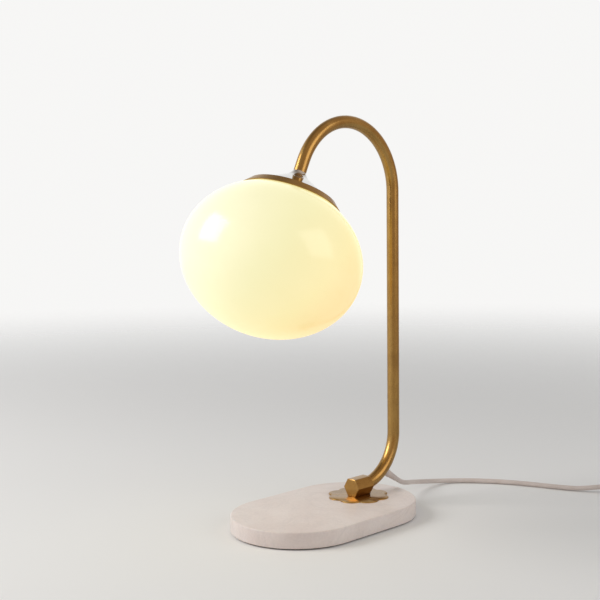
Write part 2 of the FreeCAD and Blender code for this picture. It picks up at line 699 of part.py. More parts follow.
def least_gap(edges, spacing):
    """Least clear distance between stretches of a line that are over two diameters apart along it."""
    points = Part.Wire(edges).discretize(Distance=spacing)
    skip = int(4 * FLEX_DIAMETER / spacing)
    least = min((a - b).Length for i, a in enumerate(points) for b in points[i + skip:])
    return least - FLEX_DIAMETER


def cord_coil():
    edges = coil_line()
    tube = swept_round(edges, FLEX_DIAMETER)
    length = sum(edge.Length for edge in edges)
    section = pi * FLEX_DIAMETER ** 2 / 4
    print("cord_coil: length %.1f mm, volume over section times length %.4f, least gap %.2f mm" % (
        length, tube.Volume / (section * length), least_gap(edges, 2.0)))
    return tube, length


def coil_tie():
    """Flat band round the six strands, on the coil's -X side."""
    inner_x = COIL_CENTRE.x - COIL_INNER_RADIUS + 1.2
    outer_x = COIL_CENTRE.x - coil_radii()[0][0] - FLEX_DIAMETER / 2 - 0.3
    bottom = COIL_CENTRE.z - FLEX_DIAMETER / 2 - 0.3
    top = COIL_CENTRE.z + COIL_PITCH + FLEX_DIAMETER / 2 + 0.3
    thickness = 0.8
    width = 8.0
    y = COIL_CENTRE.y + COIL_PITCH / 2 - width / 2
    outside = Part.makeBox(inner_x - outer_x + 2 * thickness, width, top - bottom + 2 * thickness,
                           V(outer_x - thickness, y, bottom - thickness))
    outside = outside.makeFillet(2.0, [edge for edge in outside.Edges if edge.BoundBox.YLength > width / 2])
    inside = Part.makeBox(inner_x - outer_x, width, top - bottom, V(outer_x, y, bottom))
    inside = inside.makeFillet(1.3, [edge for edge in inside.Edges if edge.BoundBox.YLength > width / 2])
    return outside.cut(inside)


# Switch: made along X about the middle of its foot, then laid on the flex

def on_switch(shape):
    place = FreeCAD.Placement(V(SWITCH_CENTRE.x, SWITCH_CENTRE.y, 0),
                              FreeCAD.Rotation(UP, SWITCH_HEADING))
    return shape.transformed(place.toMatrix())


def switch_body():
    """Outside of the closed switch: a rounded bar that narrows towards the flex at both ends."""
    half = SWITCH_LENGTH / 2
    waist = half - 12
    side = SWITCH_WIDTH / 2
    end = side - 4.5
    corners = [V(-half, -end, 0), V(-waist, -side, 0), V(waist, -side, 0), V(half, -end, 0),
               V(half, end, 0), V(waist, side, 0), V(-waist, side, 0), V(-half, end, 0)]
    body = polygon_face(corners).extrude(UP * SWITCH_HEIGHT)
    upright = [edge for edge in body.Edges if abs(edge.BoundBox.ZLength - SWITCH_HEIGHT) < 1e-4]
    body = body.makeFillet(4.0, upright)
    body = body.makeFillet(SWITCH_EDGE, edges_at_height(body, SWITCH_HEIGHT))
    return body.makeFillet(1.0, edges_at_height(body, 0))


def switch_cavity(bottom, top):
    """Room inside the closed switch between two heights."""
    half = SWITCH_LENGTH / 2 - SWITCH_WALL
    waist = half - 11
    side = SWITCH_WIDTH / 2 - SWITCH_WALL
    end = side - 4.5
    corners = [V(-half, -end, bottom), V(-waist, -side, bottom), V(waist, -side, bottom), V(half, -end, bottom),
               V(half, end, bottom), V(waist, side, bottom), V(-waist, side, bottom), V(-half, end, bottom)]
    return polygon_face(corners).extrude(UP * (top - bottom))


def sleeve_cutters(radius_gap):
    """Sleeve shapes at both ends, a little larger than the sleeves."""
    inside = SLEEVE_LENGTH - SLEEVE_OUTSIDE
    start = SWITCH_LENGTH / 2 - inside
    cutters = []
    for side in (-1, 1):
        cutters.append(Part.makeCylinder(SLEEVE_BASE_DIAMETER / 2 + radius_gap, inside + 0.1,
                                         V(side * start, 0, SWITCH_AXIS_HEIGHT), V(side, 0, 0)))
    return cutters


def screw_places():
    return [V(-16.5, 6.0, 0), V(16.5, -6.0, 0)]


def switch_base():
    """Lower shell, open above, with two screw posts."""
    body = switch_body()
    lower = body.common(Part.makeBox(100, 60, SWITCH_AXIS_HEIGHT, V(-50, -30, 0)))
    shell = lower.cut(switch_cavity(SWITCH_WALL, SWITCH_AXIS_HEIGHT))
    for place in screw_places():
        shell = shell.fuse(Part.makeCylinder(2.6, SWITCH_AXIS_HEIGHT - 1.0, place + V(0, 0, 1.0)))
        shell = shell.cut(Part.makeCylinder(1.4, SWITCH_AXIS_HEIGHT, place))
        shell = shell.cut(Part.makeCylinder(2.1, 1.6, place))
    for cutter in sleeve_cutters(0.05):
        shell = shell.cut(cutter)
    return shell.removeSplitter()


def switch_cover():
    """Upper shell, with the rocker's window, its two bearing cheeks and blind posts for the screws."""
    body = switch_body()
    upper = body.common(Part.makeBox(100, 60, SWITCH_HEIGHT, V(-50, -30, SWITCH_AXIS_HEIGHT)))
    shell = upper.cut(switch_cavity(SWITCH_AXIS_HEIGHT, SWITCH_HEIGHT - SWITCH_WALL))
    window = Part.makeBox(ROCKER_LENGTH + 2 * ROCKER_GAP, ROCKER_WIDTH + 2 * ROCKER_GAP, SWITCH_HEIGHT,
                          V(-ROCKER_LENGTH / 2 - ROCKER_GAP, -ROCKER_WIDTH / 2 - ROCKER_GAP, 0))
    shell = shell.cut(window)
    cheek_inside = ROCKER_WIDTH / 2 + ROCKER_GAP
    for side in (-1, 1):
        y = cheek_inside if side > 0 else -cheek_inside - 1.8
        cheek = Part.makeBox(8.0, 1.8, SWITCH_HEIGHT - 1.0 - 9.6, V(-4.0, y, 9.6))
        shell = shell.fuse(cheek)
    pin = Part.makeCylinder(ROCKER_PIN_DIAMETER / 2 + 0.02, SWITCH_WIDTH,
                            V(0, -SWITCH_WIDTH / 2, ROCKER_PIN_HEIGHT), V(0, 1, 0))
    pin = pin.common(Part.makeBox(10, ROCKER_WIDTH + 4.6, 30, V(-5, -ROCKER_WIDTH / 2 - 2.3, 0)))
    shell = shell.cut(pin)
    for place in screw_places():
        post = Part.makeCylinder(2.6, SWITCH_HEIGHT - 1.0 - SWITCH_AXIS_HEIGHT,
                                 place + V(0, 0, SWITCH_AXIS_HEIGHT))
        shell = shell.fuse(post).cut(Part.makeCylinder(1.15, 6.4, place + V(0, 0, SWITCH_AXIS_HEIGHT - 1)))
    for cutter in sleeve_cutters(0.05):
        shell = shell.cut(cutter)
    return shell.removeSplitter()


def switch_rocker():
    """Rocker with a dished top and ends round its pin. It rests with one end down."""
    half = ROCKER_LENGTH / 2
    top = SWITCH_HEIGHT + 1.6
    floor = ROCKER_PIN_HEIGHT - 1.2
    section = Part.Wire([
        Part.LineSegment(V(-half, 0, floor + 2.2), V(-half, 0, top - 0.6)).toShape(),
        Part.LineSegment(V(-half, 0, top - 0.6), V(-half + 0.6, 0, top)).toShape(),
        Part.Arc(V(-half + 0.6, 0, top), V(0, 0, top - 1.5), V(half - 0.6, 0, top)).toShape(),
        Part.LineSegment(V(half - 0.6, 0, top), V(half, 0, top - 0.6)).toShape(),
        Part.LineSegment(V(half, 0, top - 0.6), V(half, 0, floor + 2.2)).toShape(),
        Part.Arc(V(half, 0, floor + 2.2), V(0, 0, floor - 0.6), V(-half, 0, floor + 2.2)).toShape(),
    ])
    rocker = Part.Face(section).extrude(V(0, ROCKER_WIDTH, 0))
    rocker.translate(V(0, -ROCKER_WIDTH / 2, 0))
    bore = Part.makeCylinder(ROCKER_PIN_DIAMETER / 2 + 0.05, ROCKER_WIDTH + 2,
                             V(0, -ROCKER_WIDTH / 2 - 1, ROCKER_PIN_HEIGHT), V(0, 1, 0))
    swing = Part.makeCylinder(half + 0.2, ROCKER_WIDTH, V(0, -ROCKER_WIDTH / 2, ROCKER_PIN_HEIGHT), V(0, 1, 0))
    rocker = rocker.cut(bore).common(swing)
    rocker.rotate(V(0, 0, ROCKER_PIN_HEIGHT), V(0, 1, 0), ROCKER_TILT)
    return rocker


def rocker_pin():
    length = ROCKER_WIDTH + 4.2
    return Part.makeCylinder(ROCKER_PIN_DIAMETER / 2, length, V(0, -length / 2, ROCKER_PIN_HEIGHT), V(0, 1, 0))


def switch_contacts():
    """Two bent strips on the floor of the lower shell, one each side of the break."""
    strips = []
    for side in (-1, 1):
        outline = [(4.0, SWITCH_WALL), (20.0, SWITCH_WALL), (20.0, SWITCH_WALL + 3.6),
                   (19.2, SWITCH_WALL + 3.6), (19.2, SWITCH_WALL + 0.8), (4.8, SWITCH_WALL + 0.8),
                   (4.8, SWITCH_WALL + 4.4), (4.0, SWITCH_WALL + 4.4)]
        face = polygon_face([V(side * x, -2.2, z) for x, z in outline])
        strips.append(face.extrude(V(0, 4.4, 0)))
    return Part.makeCompound(strips)


def switch_screws():
    """Two screws from below, each with its head in the lower shell."""
    screws = []
    for place in screw_places():
        head = Part.makeCylinder(2.0, 1.4, place + V(0, 0, 0.2))
        shank = Part.makeCylinder(1.1, 12.0, place + V(0, 0, 1.6))
        screws.append(head.fuse(shank))
    return Part.makeCompound(screws)


def switch_sleeves():
    """Tapered sleeves on the flex at both ends of the switch, each gripped by the two shells."""
    inside = SLEEVE_LENGTH - SLEEVE_OUTSIDE
    sleeves = []
    for side in (-1, 1):
        way = V(side, 0, 0)
        start = V(side * (SWITCH_LENGTH / 2 - inside), 0, SWITCH_AXIS_HEIGHT)
        grip = Part.makeCylinder(SLEEVE_BASE_DIAMETER / 2, inside, start, way)
        taper = Part.makeCone(SLEEVE_BASE_DIAMETER / 2, SLEEVE_TIP_DIAMETER / 2, SLEEVE_OUTSIDE,
                              start + way * inside, way)
        sleeves.append(grip.fuse(taper))
    return Part.makeCompound(sleeves)


# Plug: made along X with its flex end at the origin, then laid at the end of the flex

def on_plug(shape):
    tip = TAIL_ROUTE[-1]
    way = tip - TAIL_ROUTE[-2]
    level = V(way.x, way.y, 0)
    place = FreeCAD.Placement(V(tip.x, tip.y, PLUG_THICKNESS / 2), FreeCAD.Rotation(V(1, 0, 0), level))
    return shape.transformed(place.toMatrix())


def oblong(x, width, thickness):
    """Section of the plug at a distance from its flex end: a flat bar with round sides."""
    radius = thickness / 2
    side = width / 2 - radius
    edges = [
        Part.LineSegment(V(x, -side, -radius), V(x, side, -radius)).toShape(),
        Part.Arc(V(x, side, -radius), V(x, side + radius, 0), V(x, side, radius)).toShape(),
        Part.LineSegment(V(x, side, radius), V(x, -side, radius)).toShape(),
        Part.Arc(V(x, -side, radius), V(x, -side - radius, 0), V(x, -side, -radius)).toShape(),
    ]
    return Part.Wire(edges)


def plug_body():
    """Moulded flat plug: a ribbed tapered sleeve, a swelling grip and a flat front."""
    sleeve = Part.makeCone(BUSH_TIP_DIAMETER / 2, 4.6, PLUG_SLEEVE, V(), V(1, 0, 0))
    for k in range(4):
        rib = 6.0 + 4.5 * k
        sleeve = sleeve.fuse(Part.makeCylinder(3.9 + 0.25 * k, 2.0, V(rib, 0, 0), V(1, 0, 0)))
    front = PLUG_SLEEVE + PLUG_LENGTH
    grip = Part.makeLoft([oblong(PLUG_SLEEVE - 1.0, 13.0, 10.0), oblong(PLUG_SLEEVE + 10, 26.0, 12.6),
                          oblong(PLUG_SLEEVE + 20, PLUG_WIDTH, PLUG_THICKNESS)], True, True)
    block = Part.makeLoft([oblong(PLUG_SLEEVE + 20, PLUG_WIDTH, PLUG_THICKNESS),
                           oblong(front, PLUG_WIDTH, PLUG_THICKNESS)], True, True)
    body = sleeve.fuse(grip).fuse(block)
    for side in (-1, 1):
        hole = Part.makeCylinder(PIN_DIAMETER / 2, 8.0, V(front - 8.0, side * PIN_SPACING / 2, 0), V(1, 0, 0))
        body = body.cut(hole)
    return body


def plug_pins():
    """Two round pins, rounded at their tips, set into the front of the plug."""
    front = PLUG_SLEEVE + PLUG_LENGTH
    pins = []
    for side in (-1, 1):
        y = side * PIN_SPACING / 2
        root = Part.makeCylinder(PIN_DIAMETER / 2 - 0.05, 8.0, V(front - 8.0, y, 0), V(1, 0, 0))
        neck = Part.makeCylinder(PIN_DIAMETER / 2 - 0.45, PIN_SLEEVE_LENGTH, V(front, y, 0), V(1, 0, 0))
        tip = Part.makeCylinder(PIN_DIAMETER / 2, PIN_LENGTH - PIN_SLEEVE_LENGTH,
                                V(front + PIN_SLEEVE_LENGTH, y, 0), V(1, 0, 0))
        tip = tip.makeFillet(1.2, [edge for edge in tip.Edges if edge.BoundBox.XMin > front + PIN_LENGTH - 0.1])
        pins.append(root.fuse(neck).fuse(tip))
    return Part.makeCompound(pins)


def pin_sleeves():
    """Insulating sleeves on the roots of the pins."""
    front = PLUG_SLEEVE + PLUG_LENGTH
    sleeves = []
    for side in (-1, 1):
        place = V(front, side * PIN_SPACING / 2, 0)
        outside = Part.makeCylinder(PIN_DIAMETER / 2, PIN_SLEEVE_LENGTH, place, V(1, 0, 0))
        inside = Part.makeCylinder(PIN_DIAMETER / 2 - 0.4, PIN_SLEEVE_LENGTH, place, V(1, 0, 0))
        sleeves.append(outside.cut(inside))
    return Part.makeCompound(sleeves)


def build():
    os.makedirs("parts", exist_ok=True)
    for make in (base_pad, marble_base, base_bolt, bolt_washer, foot_plate, foot_block, arm_tube, cord_bush,
                 arm_cores, coil_tie):
        save(make.__name__, make())
    for make in (glass_globe, gallery_ring, gallery_plate, shade_gasket, glass_clips, shade_cone, arm_nipple,
                 plate_nut, holder_cap, holder_skirt, holder_insert, contact_shell, centre_contact,
                 terminal_screws, bulb_cap, bulb_tip, bulb_housing, bulb_diffuser):
        save(make.__name__, in_head(make()))
    for make in (switch_base, switch_cover, switch_rocker, rocker_pin, switch_contacts, switch_screws,
                 switch_sleeves):
        save(make.__name__, on_switch(make()))
    for make in (plug_body, plug_pins, pin_sleeves):
        save(make.__name__, on_plug(make()))

    lead, lead_length = flex_tube("cord_lead", LEAD_ROUTE + [switch_end(-1)])
    coil, coil_length = cord_coil()
    coil_start = COIL_CENTRE + V(FLEX_DIAMETER, -coil_radii()[0][0], 0)
    coil_end = COIL_CENTRE + V(-FLEX_DIAMETER, -coil_radii()[0][0], COIL_PITCH)
    mid, mid_length = flex_tube("cord_mid", [switch_end(1)] + MID_ROUTE + [coil_start])
    tail, tail_length = flex_tube("cord_tail", [coil_end] + TAIL_ROUTE)
    save("cord_lead", lead)
    save("cord_mid", mid)
    save("cord_coil", coil)
    save("cord_tail", tail)
    switch_run = SWITCH_LENGTH + 2 * SLEEVE_OUTSIDE
    total = lead_length + switch_run + mid_length + coil_length + tail_length + PLUG_SLEEVE
    print("lead from bush to plug: %.0f mm, aimed at %.0f mm" % (total, FLEX_LEAD))


build()
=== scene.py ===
from math import acos, atan2, cos, pi, radians, sin, sqrt, tan

import bmesh
import bpy
from mathutils import Matrix, Vector


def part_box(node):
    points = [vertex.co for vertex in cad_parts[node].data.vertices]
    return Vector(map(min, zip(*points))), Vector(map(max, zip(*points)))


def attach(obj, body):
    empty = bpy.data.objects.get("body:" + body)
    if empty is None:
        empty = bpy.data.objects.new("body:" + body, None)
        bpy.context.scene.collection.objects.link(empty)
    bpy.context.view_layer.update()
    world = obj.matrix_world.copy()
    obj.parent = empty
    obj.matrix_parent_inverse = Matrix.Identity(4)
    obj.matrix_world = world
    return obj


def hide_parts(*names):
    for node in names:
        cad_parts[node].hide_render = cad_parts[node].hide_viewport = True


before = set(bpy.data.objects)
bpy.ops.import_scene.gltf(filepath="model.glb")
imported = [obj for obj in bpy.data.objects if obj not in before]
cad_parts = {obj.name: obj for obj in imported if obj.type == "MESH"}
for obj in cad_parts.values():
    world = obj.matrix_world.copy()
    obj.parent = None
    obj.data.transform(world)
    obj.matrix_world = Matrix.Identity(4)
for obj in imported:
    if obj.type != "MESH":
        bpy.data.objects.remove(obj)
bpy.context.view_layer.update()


# Camera: stands in front and to the left of the lamp, about as high as the top of the globe, and
# looks a little down. Lens and place were fitted to the outlines of foot, stem, arch and globe.
camera_place = Vector((-0.8179, -0.7818, 0.3279))
camera_azimuth = radians(-45.14)
camera_elevation = radians(5.24)
camera_roll = radians(-0.65)
camera_lens = 69.0
camera_sensor = 36.0
camera_reach = 50.0

camera = bpy.data.objects.new("camera", bpy.data.cameras.new("camera"))
bpy.context.scene.collection.objects.link(camera)
bpy.context.scene.camera = camera
camera.data.sensor_width = camera_sensor
camera.data.lens = camera_lens
camera.data.clip_end = camera_reach
backwards = Vector((sin(camera_azimuth) * cos(camera_elevation),
                    -cos(camera_azimuth) * cos(camera_elevation), sin(camera_elevation)))
level_right = Vector((cos(camera_azimuth), sin(camera_azimuth), 0))
level_up = backwards.cross(level_right)
right = level_right * cos(camera_roll) + level_up * sin(camera_roll)
upwards = level_up * cos(camera_roll) - level_right * sin(camera_roll)
camera_axes = Matrix((right, upwards, backwards)).transposed().to_4x4()
camera.matrix_world = Matrix.Translation(camera_place) @ camera_axes


# Pad: a thin sheet of black closed-cell foam, glued under the stone so that it stands quietly
# and covers the bolt. The node keeps its shape and gets a fine pitted foam finish.
foam_cell_scale = 900.0
foam_pit_depth = 0.0004
foam_colours = [(0.3, (0.012, 0.011, 0.011)), (0.7, (0.03, 0.028, 0.027))]


def new_material(name):
    """Node material with its surface shader."""
    material = bpy.data.materials.new(name)
    material.use_nodes = True
    return material, material.node_tree, material.node_tree.nodes["Principled BSDF"]


def add(tree, kind, inputs=None, **settings):
    """Shader node with its settings, and its inputs given as values or as sockets to link."""
    made = tree.nodes.new("ShaderNode" + kind)
    for key, value in settings.items():
        setattr(made, key, value)
    connect(tree, made, inputs or {})
    return made


def connect(tree, made, inputs):
    """Set a node's inputs, from values or from sockets to link."""
    for key, value in inputs.items():
        if isinstance(value, bpy.types.NodeSocket):
            tree.links.new(value, made.inputs[key])
        else:
            made.inputs[key].default_value = value


def ramp(tree, factor, stops):
    """Colour ramp from (position, colour) pairs, read as its colour."""
    made = add(tree, "ValToRGB", {"Fac": factor})
    elements = made.color_ramp.elements
    while len(elements) < len(stops):
        elements.new(0.5)
    for element, (position, colour) in zip(elements, stops):
        element.position = position
        element.color = (*colour, 1)
    return made.outputs["Color"]


def noise(tree, vector, scale, detail=3.0, roughness=0.5, distortion=0.0):
    return add(tree, "TexNoise", {"Vector": vector, "Scale": scale, "Detail": detail,
                                  "Roughness": roughness, "Distortion": distortion}).outputs["Fac"]


def cells(tree, vector, scale):
    return add(tree, "TexVoronoi", {"Vector": vector, "Scale": scale}).outputs["Distance"]


def bumps(tree, shader, height, depth, strength=1.0):
    made = add(tree, "Bump", {"Height": height, "Distance": depth, "Strength": strength})
    tree.links.new(made.outputs["Normal"], shader.inputs["Normal"])


def place_on(tree):
    return add(tree, "TexCoord").outputs["Object"]


def foam_finish():
    material, tree, shader = new_material("black_foam")
    place = place_on(tree)
    connect(tree, shader, {
        "Base Color": ramp(tree, noise(tree, place, scale=60.0), foam_colours),
        "Roughness": 0.92,
    })
    bumps(tree, shader, cells(tree, place, foam_cell_scale), foam_pit_depth)
    return material


def paint(node, material):
    """Give a CAD node that keeps its own shape its finish."""
    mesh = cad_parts[node].data
    mesh.materials.clear()
    mesh.materials.append(material)


paint("base_pad", foam_finish())


# Stone: a slab of pale marble, sawn, milled to half-round ends and honed, with its edges eased by
# hand. It carries everything. It stands on its pad and is bored through for the bolt.
stone_length = 0.210
stone_width = 0.133
stone_edge = 0.0016
stone_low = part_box("marble_base")[0].z
stone_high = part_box("marble_base")[1].z
merge_gap = 1e-7
marble_clouds = [(0.32, (0.735, 0.63, 0.585)), (0.5, (0.78, 0.685, 0.64)),
                 (0.7, (0.82, 0.735, 0.69))]
marble_grain = [(0.35, (0.94, 0.94, 0.94)), (0.65, (1.0, 1.0, 1.0))]
vein_colour = (0.56, 0.49, 0.46, 1)
vein_half_width = 0.03
vein_strength = 0.16


def finished(name, mesh_data, material, body="lamp", stands_for=(), smooth_angle=32):
    """Object from a bmesh: shaded smooth up to an angle, painted, and riding on its body."""
    mesh = bpy.data.meshes.new(name)
    mesh_data.to_mesh(mesh)
    mesh_data.free()
    mesh.polygons.foreach_set("use_smooth", [True] * len(mesh.polygons))
    mesh.set_sharp_from_angle(angle=radians(smooth_angle))
    mesh.materials.append(material)
    piece = bpy.data.objects.new(name, mesh)
    bpy.context.scene.collection.objects.link(piece)
    return declared(piece, body, stands_for)


def declared(piece, body, stands_for):
    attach(piece, body)
    if stands_for:
        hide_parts(*stands_for)
    return piece


def rings_to_faces(bm, rings, closed=False):
    """Quads between neighbouring rings of the same number of points."""
    pairs = list(zip(rings, rings[1:]))
    if closed:
        pairs.append((rings[-1], rings[0]))
    for first, second in pairs:
        count = len(first)
        for k in range(count):
            bm.faces.new((first[k], first[(k + 1) % count], second[(k + 1) % count], second[k]))


def capped(bm, rings):
    """Sides between the rings, and a face on the first and on the last."""
    rings_to_faces(bm, rings)
    bm.faces.new(rings[0])
    bm.faces.new(rings[-1])


def outwards(bm):
    """Merge doubled points and turn every face outwards."""
    bmesh.ops.remove_doubles(bm, verts=bm.verts, dist=merge_gap)
    bmesh.ops.recalc_face_normals(bm, faces=bm.faces)
    return bm


def quarter_round(radius, steps=5):
    """(inset, drop) pairs of a rounded edge, from the side face up to the flat."""
    return [(radius * (1 - cos(pi / 2 * k / steps)), radius * (1 - sin(pi / 2 * k / steps)))
            for k in range(steps + 1)]


def stadium_ring(bm, length, width, inset, height, steps=48):
    """Ring of points round a stadium outline, drawn in by an inset."""
    radius = width / 2
    flat = length / 2 - radius
    points = []
    for side in (1, -1):
        for k in range(steps + 1):
            angle = pi * (k / steps - 0.5)
            points.append((side * (flat + (radius - inset) * cos(angle)),
                           side * (radius - inset) * sin(angle), height))
    return [bm.verts.new(point) for point in points]


def stone_slab():
    bm = bmesh.new()
    edge = quarter_round(stone_edge)
    levels = [(inset, stone_low + drop) for inset, drop in reversed(edge)]
    levels += [(inset, stone_high - drop) for inset, drop in edge]
    capped(bm, [stadium_ring(bm, stone_length, stone_width, inset, height)
                for inset, height in levels])
    return outwards(bm)


def spread(tree, factor, low, high, start=0.0, end=1.0):
    """Factor that runs from start to end, turned into a value that runs from low to high."""
    return add(tree, "MapRange", {"Value": factor, "From Min": start, "From Max": end,
                                  "To Min": low, "To Max": high}).outputs["Result"]


def worked_out(tree, operation, *values):
    """Result of a sum on one or two values."""
    return add(tree, "Math", dict(enumerate(values)), operation=operation).outputs["Value"]


def blended(tree, share, first, second, blend="MIX"):
    """Colour mixed from two, by a share of the second."""
    return add(tree, "Mix", {"Factor": share, 6: first, 7: second}, data_type="RGBA",
               blend_type=blend).outputs[2]


def marble_finish():
    """Soft clouds, with faint veins where a second noise passes through its middle value."""
    material, tree, shader = new_material("pale_marble")
    place = place_on(tree)
    warp = noise(tree, place, scale=16.0, detail=6.0, roughness=0.6, distortion=0.6)
    veins = noise(tree, place, scale=11.0, detail=8.0, roughness=0.6, distortion=1.4)
    vein_near = worked_out(tree, "ABSOLUTE", worked_out(tree, "SUBTRACT", veins, 0.5))
    vein_mask = spread(tree, vein_near, vein_strength, 0.0, 0.0, vein_half_width)
    grain = noise(tree, place, scale=420.0, detail=2.0)
    veined = blended(tree, vein_mask, ramp(tree, warp, marble_clouds), vein_colour)
    connect(tree, shader, {
        "Base Color": blended(tree, 0.8, veined, ramp(tree, grain, marble_grain), "MULTIPLY"),
        "Roughness": spread(tree, noise(tree, place, scale=55.0), 0.34, 0.46),
        "Subsurface Weight": 0.12,
        "Subsurface Radius": (0.012, 0.008, 0.006),
        "Subsurface Scale": 0.25,
        "Specular IOR Level": 0.45,
    })
    bumps(tree, shader, grain, depth=0.00006)
    return material


marble = marble_finish()
finished("stone", stone_slab(), marble, stands_for=("marble_base",))


# Foot plate: a thin brass disc cut to eight round lobes, with soft notches between them. It spreads
# the bolt's load on the stone, and its upper edge is broken by polishing.
plate_centre = Vector((0.050, 0, 0))
plate_lobes = 8
plate_tip = 0.0320
plate_notch = 0.0274
plate_fillet = 0.0025
plate_edge = 0.0003
plate_edge_knee = 0.35 * plate_edge
lobe_half_steps = 6
notch_half_steps = 3
brass_tones = [(0.30, (0.33, 0.185, 0.055)), (0.52, (0.41, 0.24, 0.072)),
               (0.75, (0.49, 0.305, 0.10))]
brass_streaks = [(0.3, (0.90, 0.89, 0.87)), (0.7, (1.0, 1.0, 1.0))]
brass_groove_depth = 0.00003


def stretched(tree, vector, factors):
    return add(tree, "VectorMath", {0: vector, 1: factors}, operation="MULTIPLY").outputs["Vector"]


def brushed_brass(name, stretch, strength=1.0, handling_scale=38.0, rough=(0.24, 0.46),
                  coat_rough=0.22, uv_map=None):
    """Satin brass under clear lacquer. Stretch is how much finer the brushing is along each axis
    of the piece, or of its own map where that is named."""
    material, tree, shader = new_material(name)
    place = place_on(tree)
    followed = add(tree, "UVMap", uv_map=uv_map).outputs["UV"] if uv_map else place
    brushing = noise(tree, stretched(tree, followed, stretch), scale=1.0, detail=3.0, roughness=0.6)
    handling = noise(tree, place, scale=handling_scale, detail=5.0, roughness=0.6)
    tone = ramp(tree, handling, brass_tones)
    fine = ramp(tree, brushing, brass_streaks)
    connect(tree, shader, {
        "Base Color": blended(tree, 0.75, tone, fine, "MULTIPLY"),
        "Metallic": 1.0,
        "Roughness": spread(tree, worked_out(tree, "MULTIPLY", brushing, handling), *rough),
        "Coat Weight": 0.05,
        "Coat Roughness": coat_rough,
    })
    bumps(tree, shader, brushing, brass_groove_depth, 0.5 * strength)
    return material


def plate_outline():
    """Points round the lobed edge: an outward arc for each lobe, an inward arc for each notch."""
    half = pi / plate_lobes
    half_chord = plate_notch * sin(half)
    rise = plate_tip - plate_notch * cos(half)
    lobe = (half_chord ** 2 + rise ** 2) / (2 * rise)
    lobe_centre = plate_tip - lobe
    notch_side = lobe_centre * sin(half)
    notch_centre = lobe_centre * cos(half) + sqrt((lobe + plate_fillet) ** 2 - notch_side ** 2)
    slope = atan2(notch_side, notch_centre - lobe_centre * cos(half))
    points = []
    for k in range(plate_lobes):
        middle = (2 * k + 1) * half
        for step in range(2 * lobe_half_steps + 1):
            turn = middle + (half + slope) * (step / lobe_half_steps - 1)
            points.append((lobe_centre * cos(middle) + lobe * cos(turn),
                           lobe_centre * sin(middle) + lobe * sin(turn)))
        corner = middle + half
        for step in range(1, 2 * notch_half_steps):
            turn = corner + pi + slope * (1 - step / notch_half_steps)
            points.append((notch_centre * cos(corner) + plate_fillet * cos(turn),
                           notch_centre * sin(corner) + plate_fillet * sin(turn)))
    return points


def foot_disc():
    bm = bmesh.new()
    low, high = (corner.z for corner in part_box("foot_plate"))
    outline = plate_outline()
    rings = []
    for inset, height in ((0.0, low), (0.0, high - plate_edge),
                          (plate_edge_knee, high - plate_edge_knee), (plate_edge, high)):
        shrink = 1 - inset / plate_tip
        rings.append([bm.verts.new((plate_centre.x + x * shrink, y * shrink, height))
                      for x, y in outline])
    capped(bm, rings)
    return outwards(bm)


plate_brass = brushed_brass("plate_brass", (2500.0, 260.0, 260.0))
finished("foot_disc", foot_disc(), plate_brass, stands_for=("foot_plate",),
         smooth_angle=40)


# Block: a length of hexagonal brass bar that lies along the foot. Its ends are turned to a light
# chamfer, the tube is soldered into its back end, and the bolt comes up into it from below.
block_flats = 0.018
block_chamfer = 0.0007
block_chamfer_length = 0.55 * block_chamfer
block_edge = 0.00035
long_edge_least = 0.005


def hexagon_block():
    bm = bmesh.new()
    low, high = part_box("foot_block")
    axis_height = (low.z + high.z) / 2
    corner = block_flats / sqrt(3)
    end_share = 1 - block_chamfer / corner
    rings = []
    for x, share in ((low.x, end_share), (low.x + block_chamfer_length, 1.0),
                     (high.x - block_chamfer_length, 1.0), (high.x, end_share)):
        rings.append([bm.verts.new((x, corner * share * cos(k * pi / 3),
                                    axis_height + corner * share * sin(k * pi / 3)))
                      for k in range(6)])
    capped(bm, rings)
    long_edges = [edge for edge in bm.edges
                  if abs(edge.verts[0].co.x - edge.verts[1].co.x) > long_edge_least]
    bmesh.ops.bevel(bm, geom=long_edges, offset=block_edge, segments=3, profile=0.5,
                    affect="EDGES")
    return outwards(bm)


block_brass = brushed_brass("block_brass", (160.0, 1900.0, 1900.0))
finished("hexagon_block", hexagon_block(), block_brass,
         stands_for=("foot_block",))


# Bolt and washer: a plain zinc-plated hexagon bolt in the stone's counterbore, turned up into the
# block. They are hidden by the pad, and keep their own shapes.
plated_shadow = 0.78


def plated_steel(name, colour=(0.52, 0.52, 0.50), rough=(0.28, 0.42)):
    """Bright metal with a cloudy tone, and a spangle in how rough it is."""
    material, tree, shader = new_material(name)
    place = place_on(tree)
    cloud = noise(tree, place, scale=120.0, detail=4.0)
    dark = tuple(channel * plated_shadow for channel in colour)
    connect(tree, shader, {
        "Base Color": ramp(tree, cloud, [(0.3, dark), (0.7, colour)]),
        "Metallic": 1.0,
        "Roughness": spread(tree, cells(tree, place, scale=700.0), *rough),
    })
    bumps(tree, shader, cloud, depth=0.00005)
    return material


zinc = plated_steel("zinc_plate")
for hidden_node in ("base_bolt", "bolt_washer"):
    paint(hidden_node, zinc)


# Arm: one length of half-inch brass tube, bent at the foot and round the arch, brushed lengthwise
# and lacquered. It leaves the back of the block, rises as the stem and ends in the cone.
tube_radius = 0.00635
tube_bore = 0.0050
tube_start = 0.0565
foot_bend = 0.050
stem_top = 0.330
arch_bend = 0.0695
arch_turn = radians(154.6)
tube_axis_height = 0.027
globe_centre = Vector((-0.070, 0, 0.2668))
head_tilt = pi - arch_turn
head_axis = Vector((sin(head_tilt), 0, cos(head_tilt)))
tube_end = 0.078
foot_steps = 32
stem_steps = 24
arch_steps = 64
tail_steps = 4


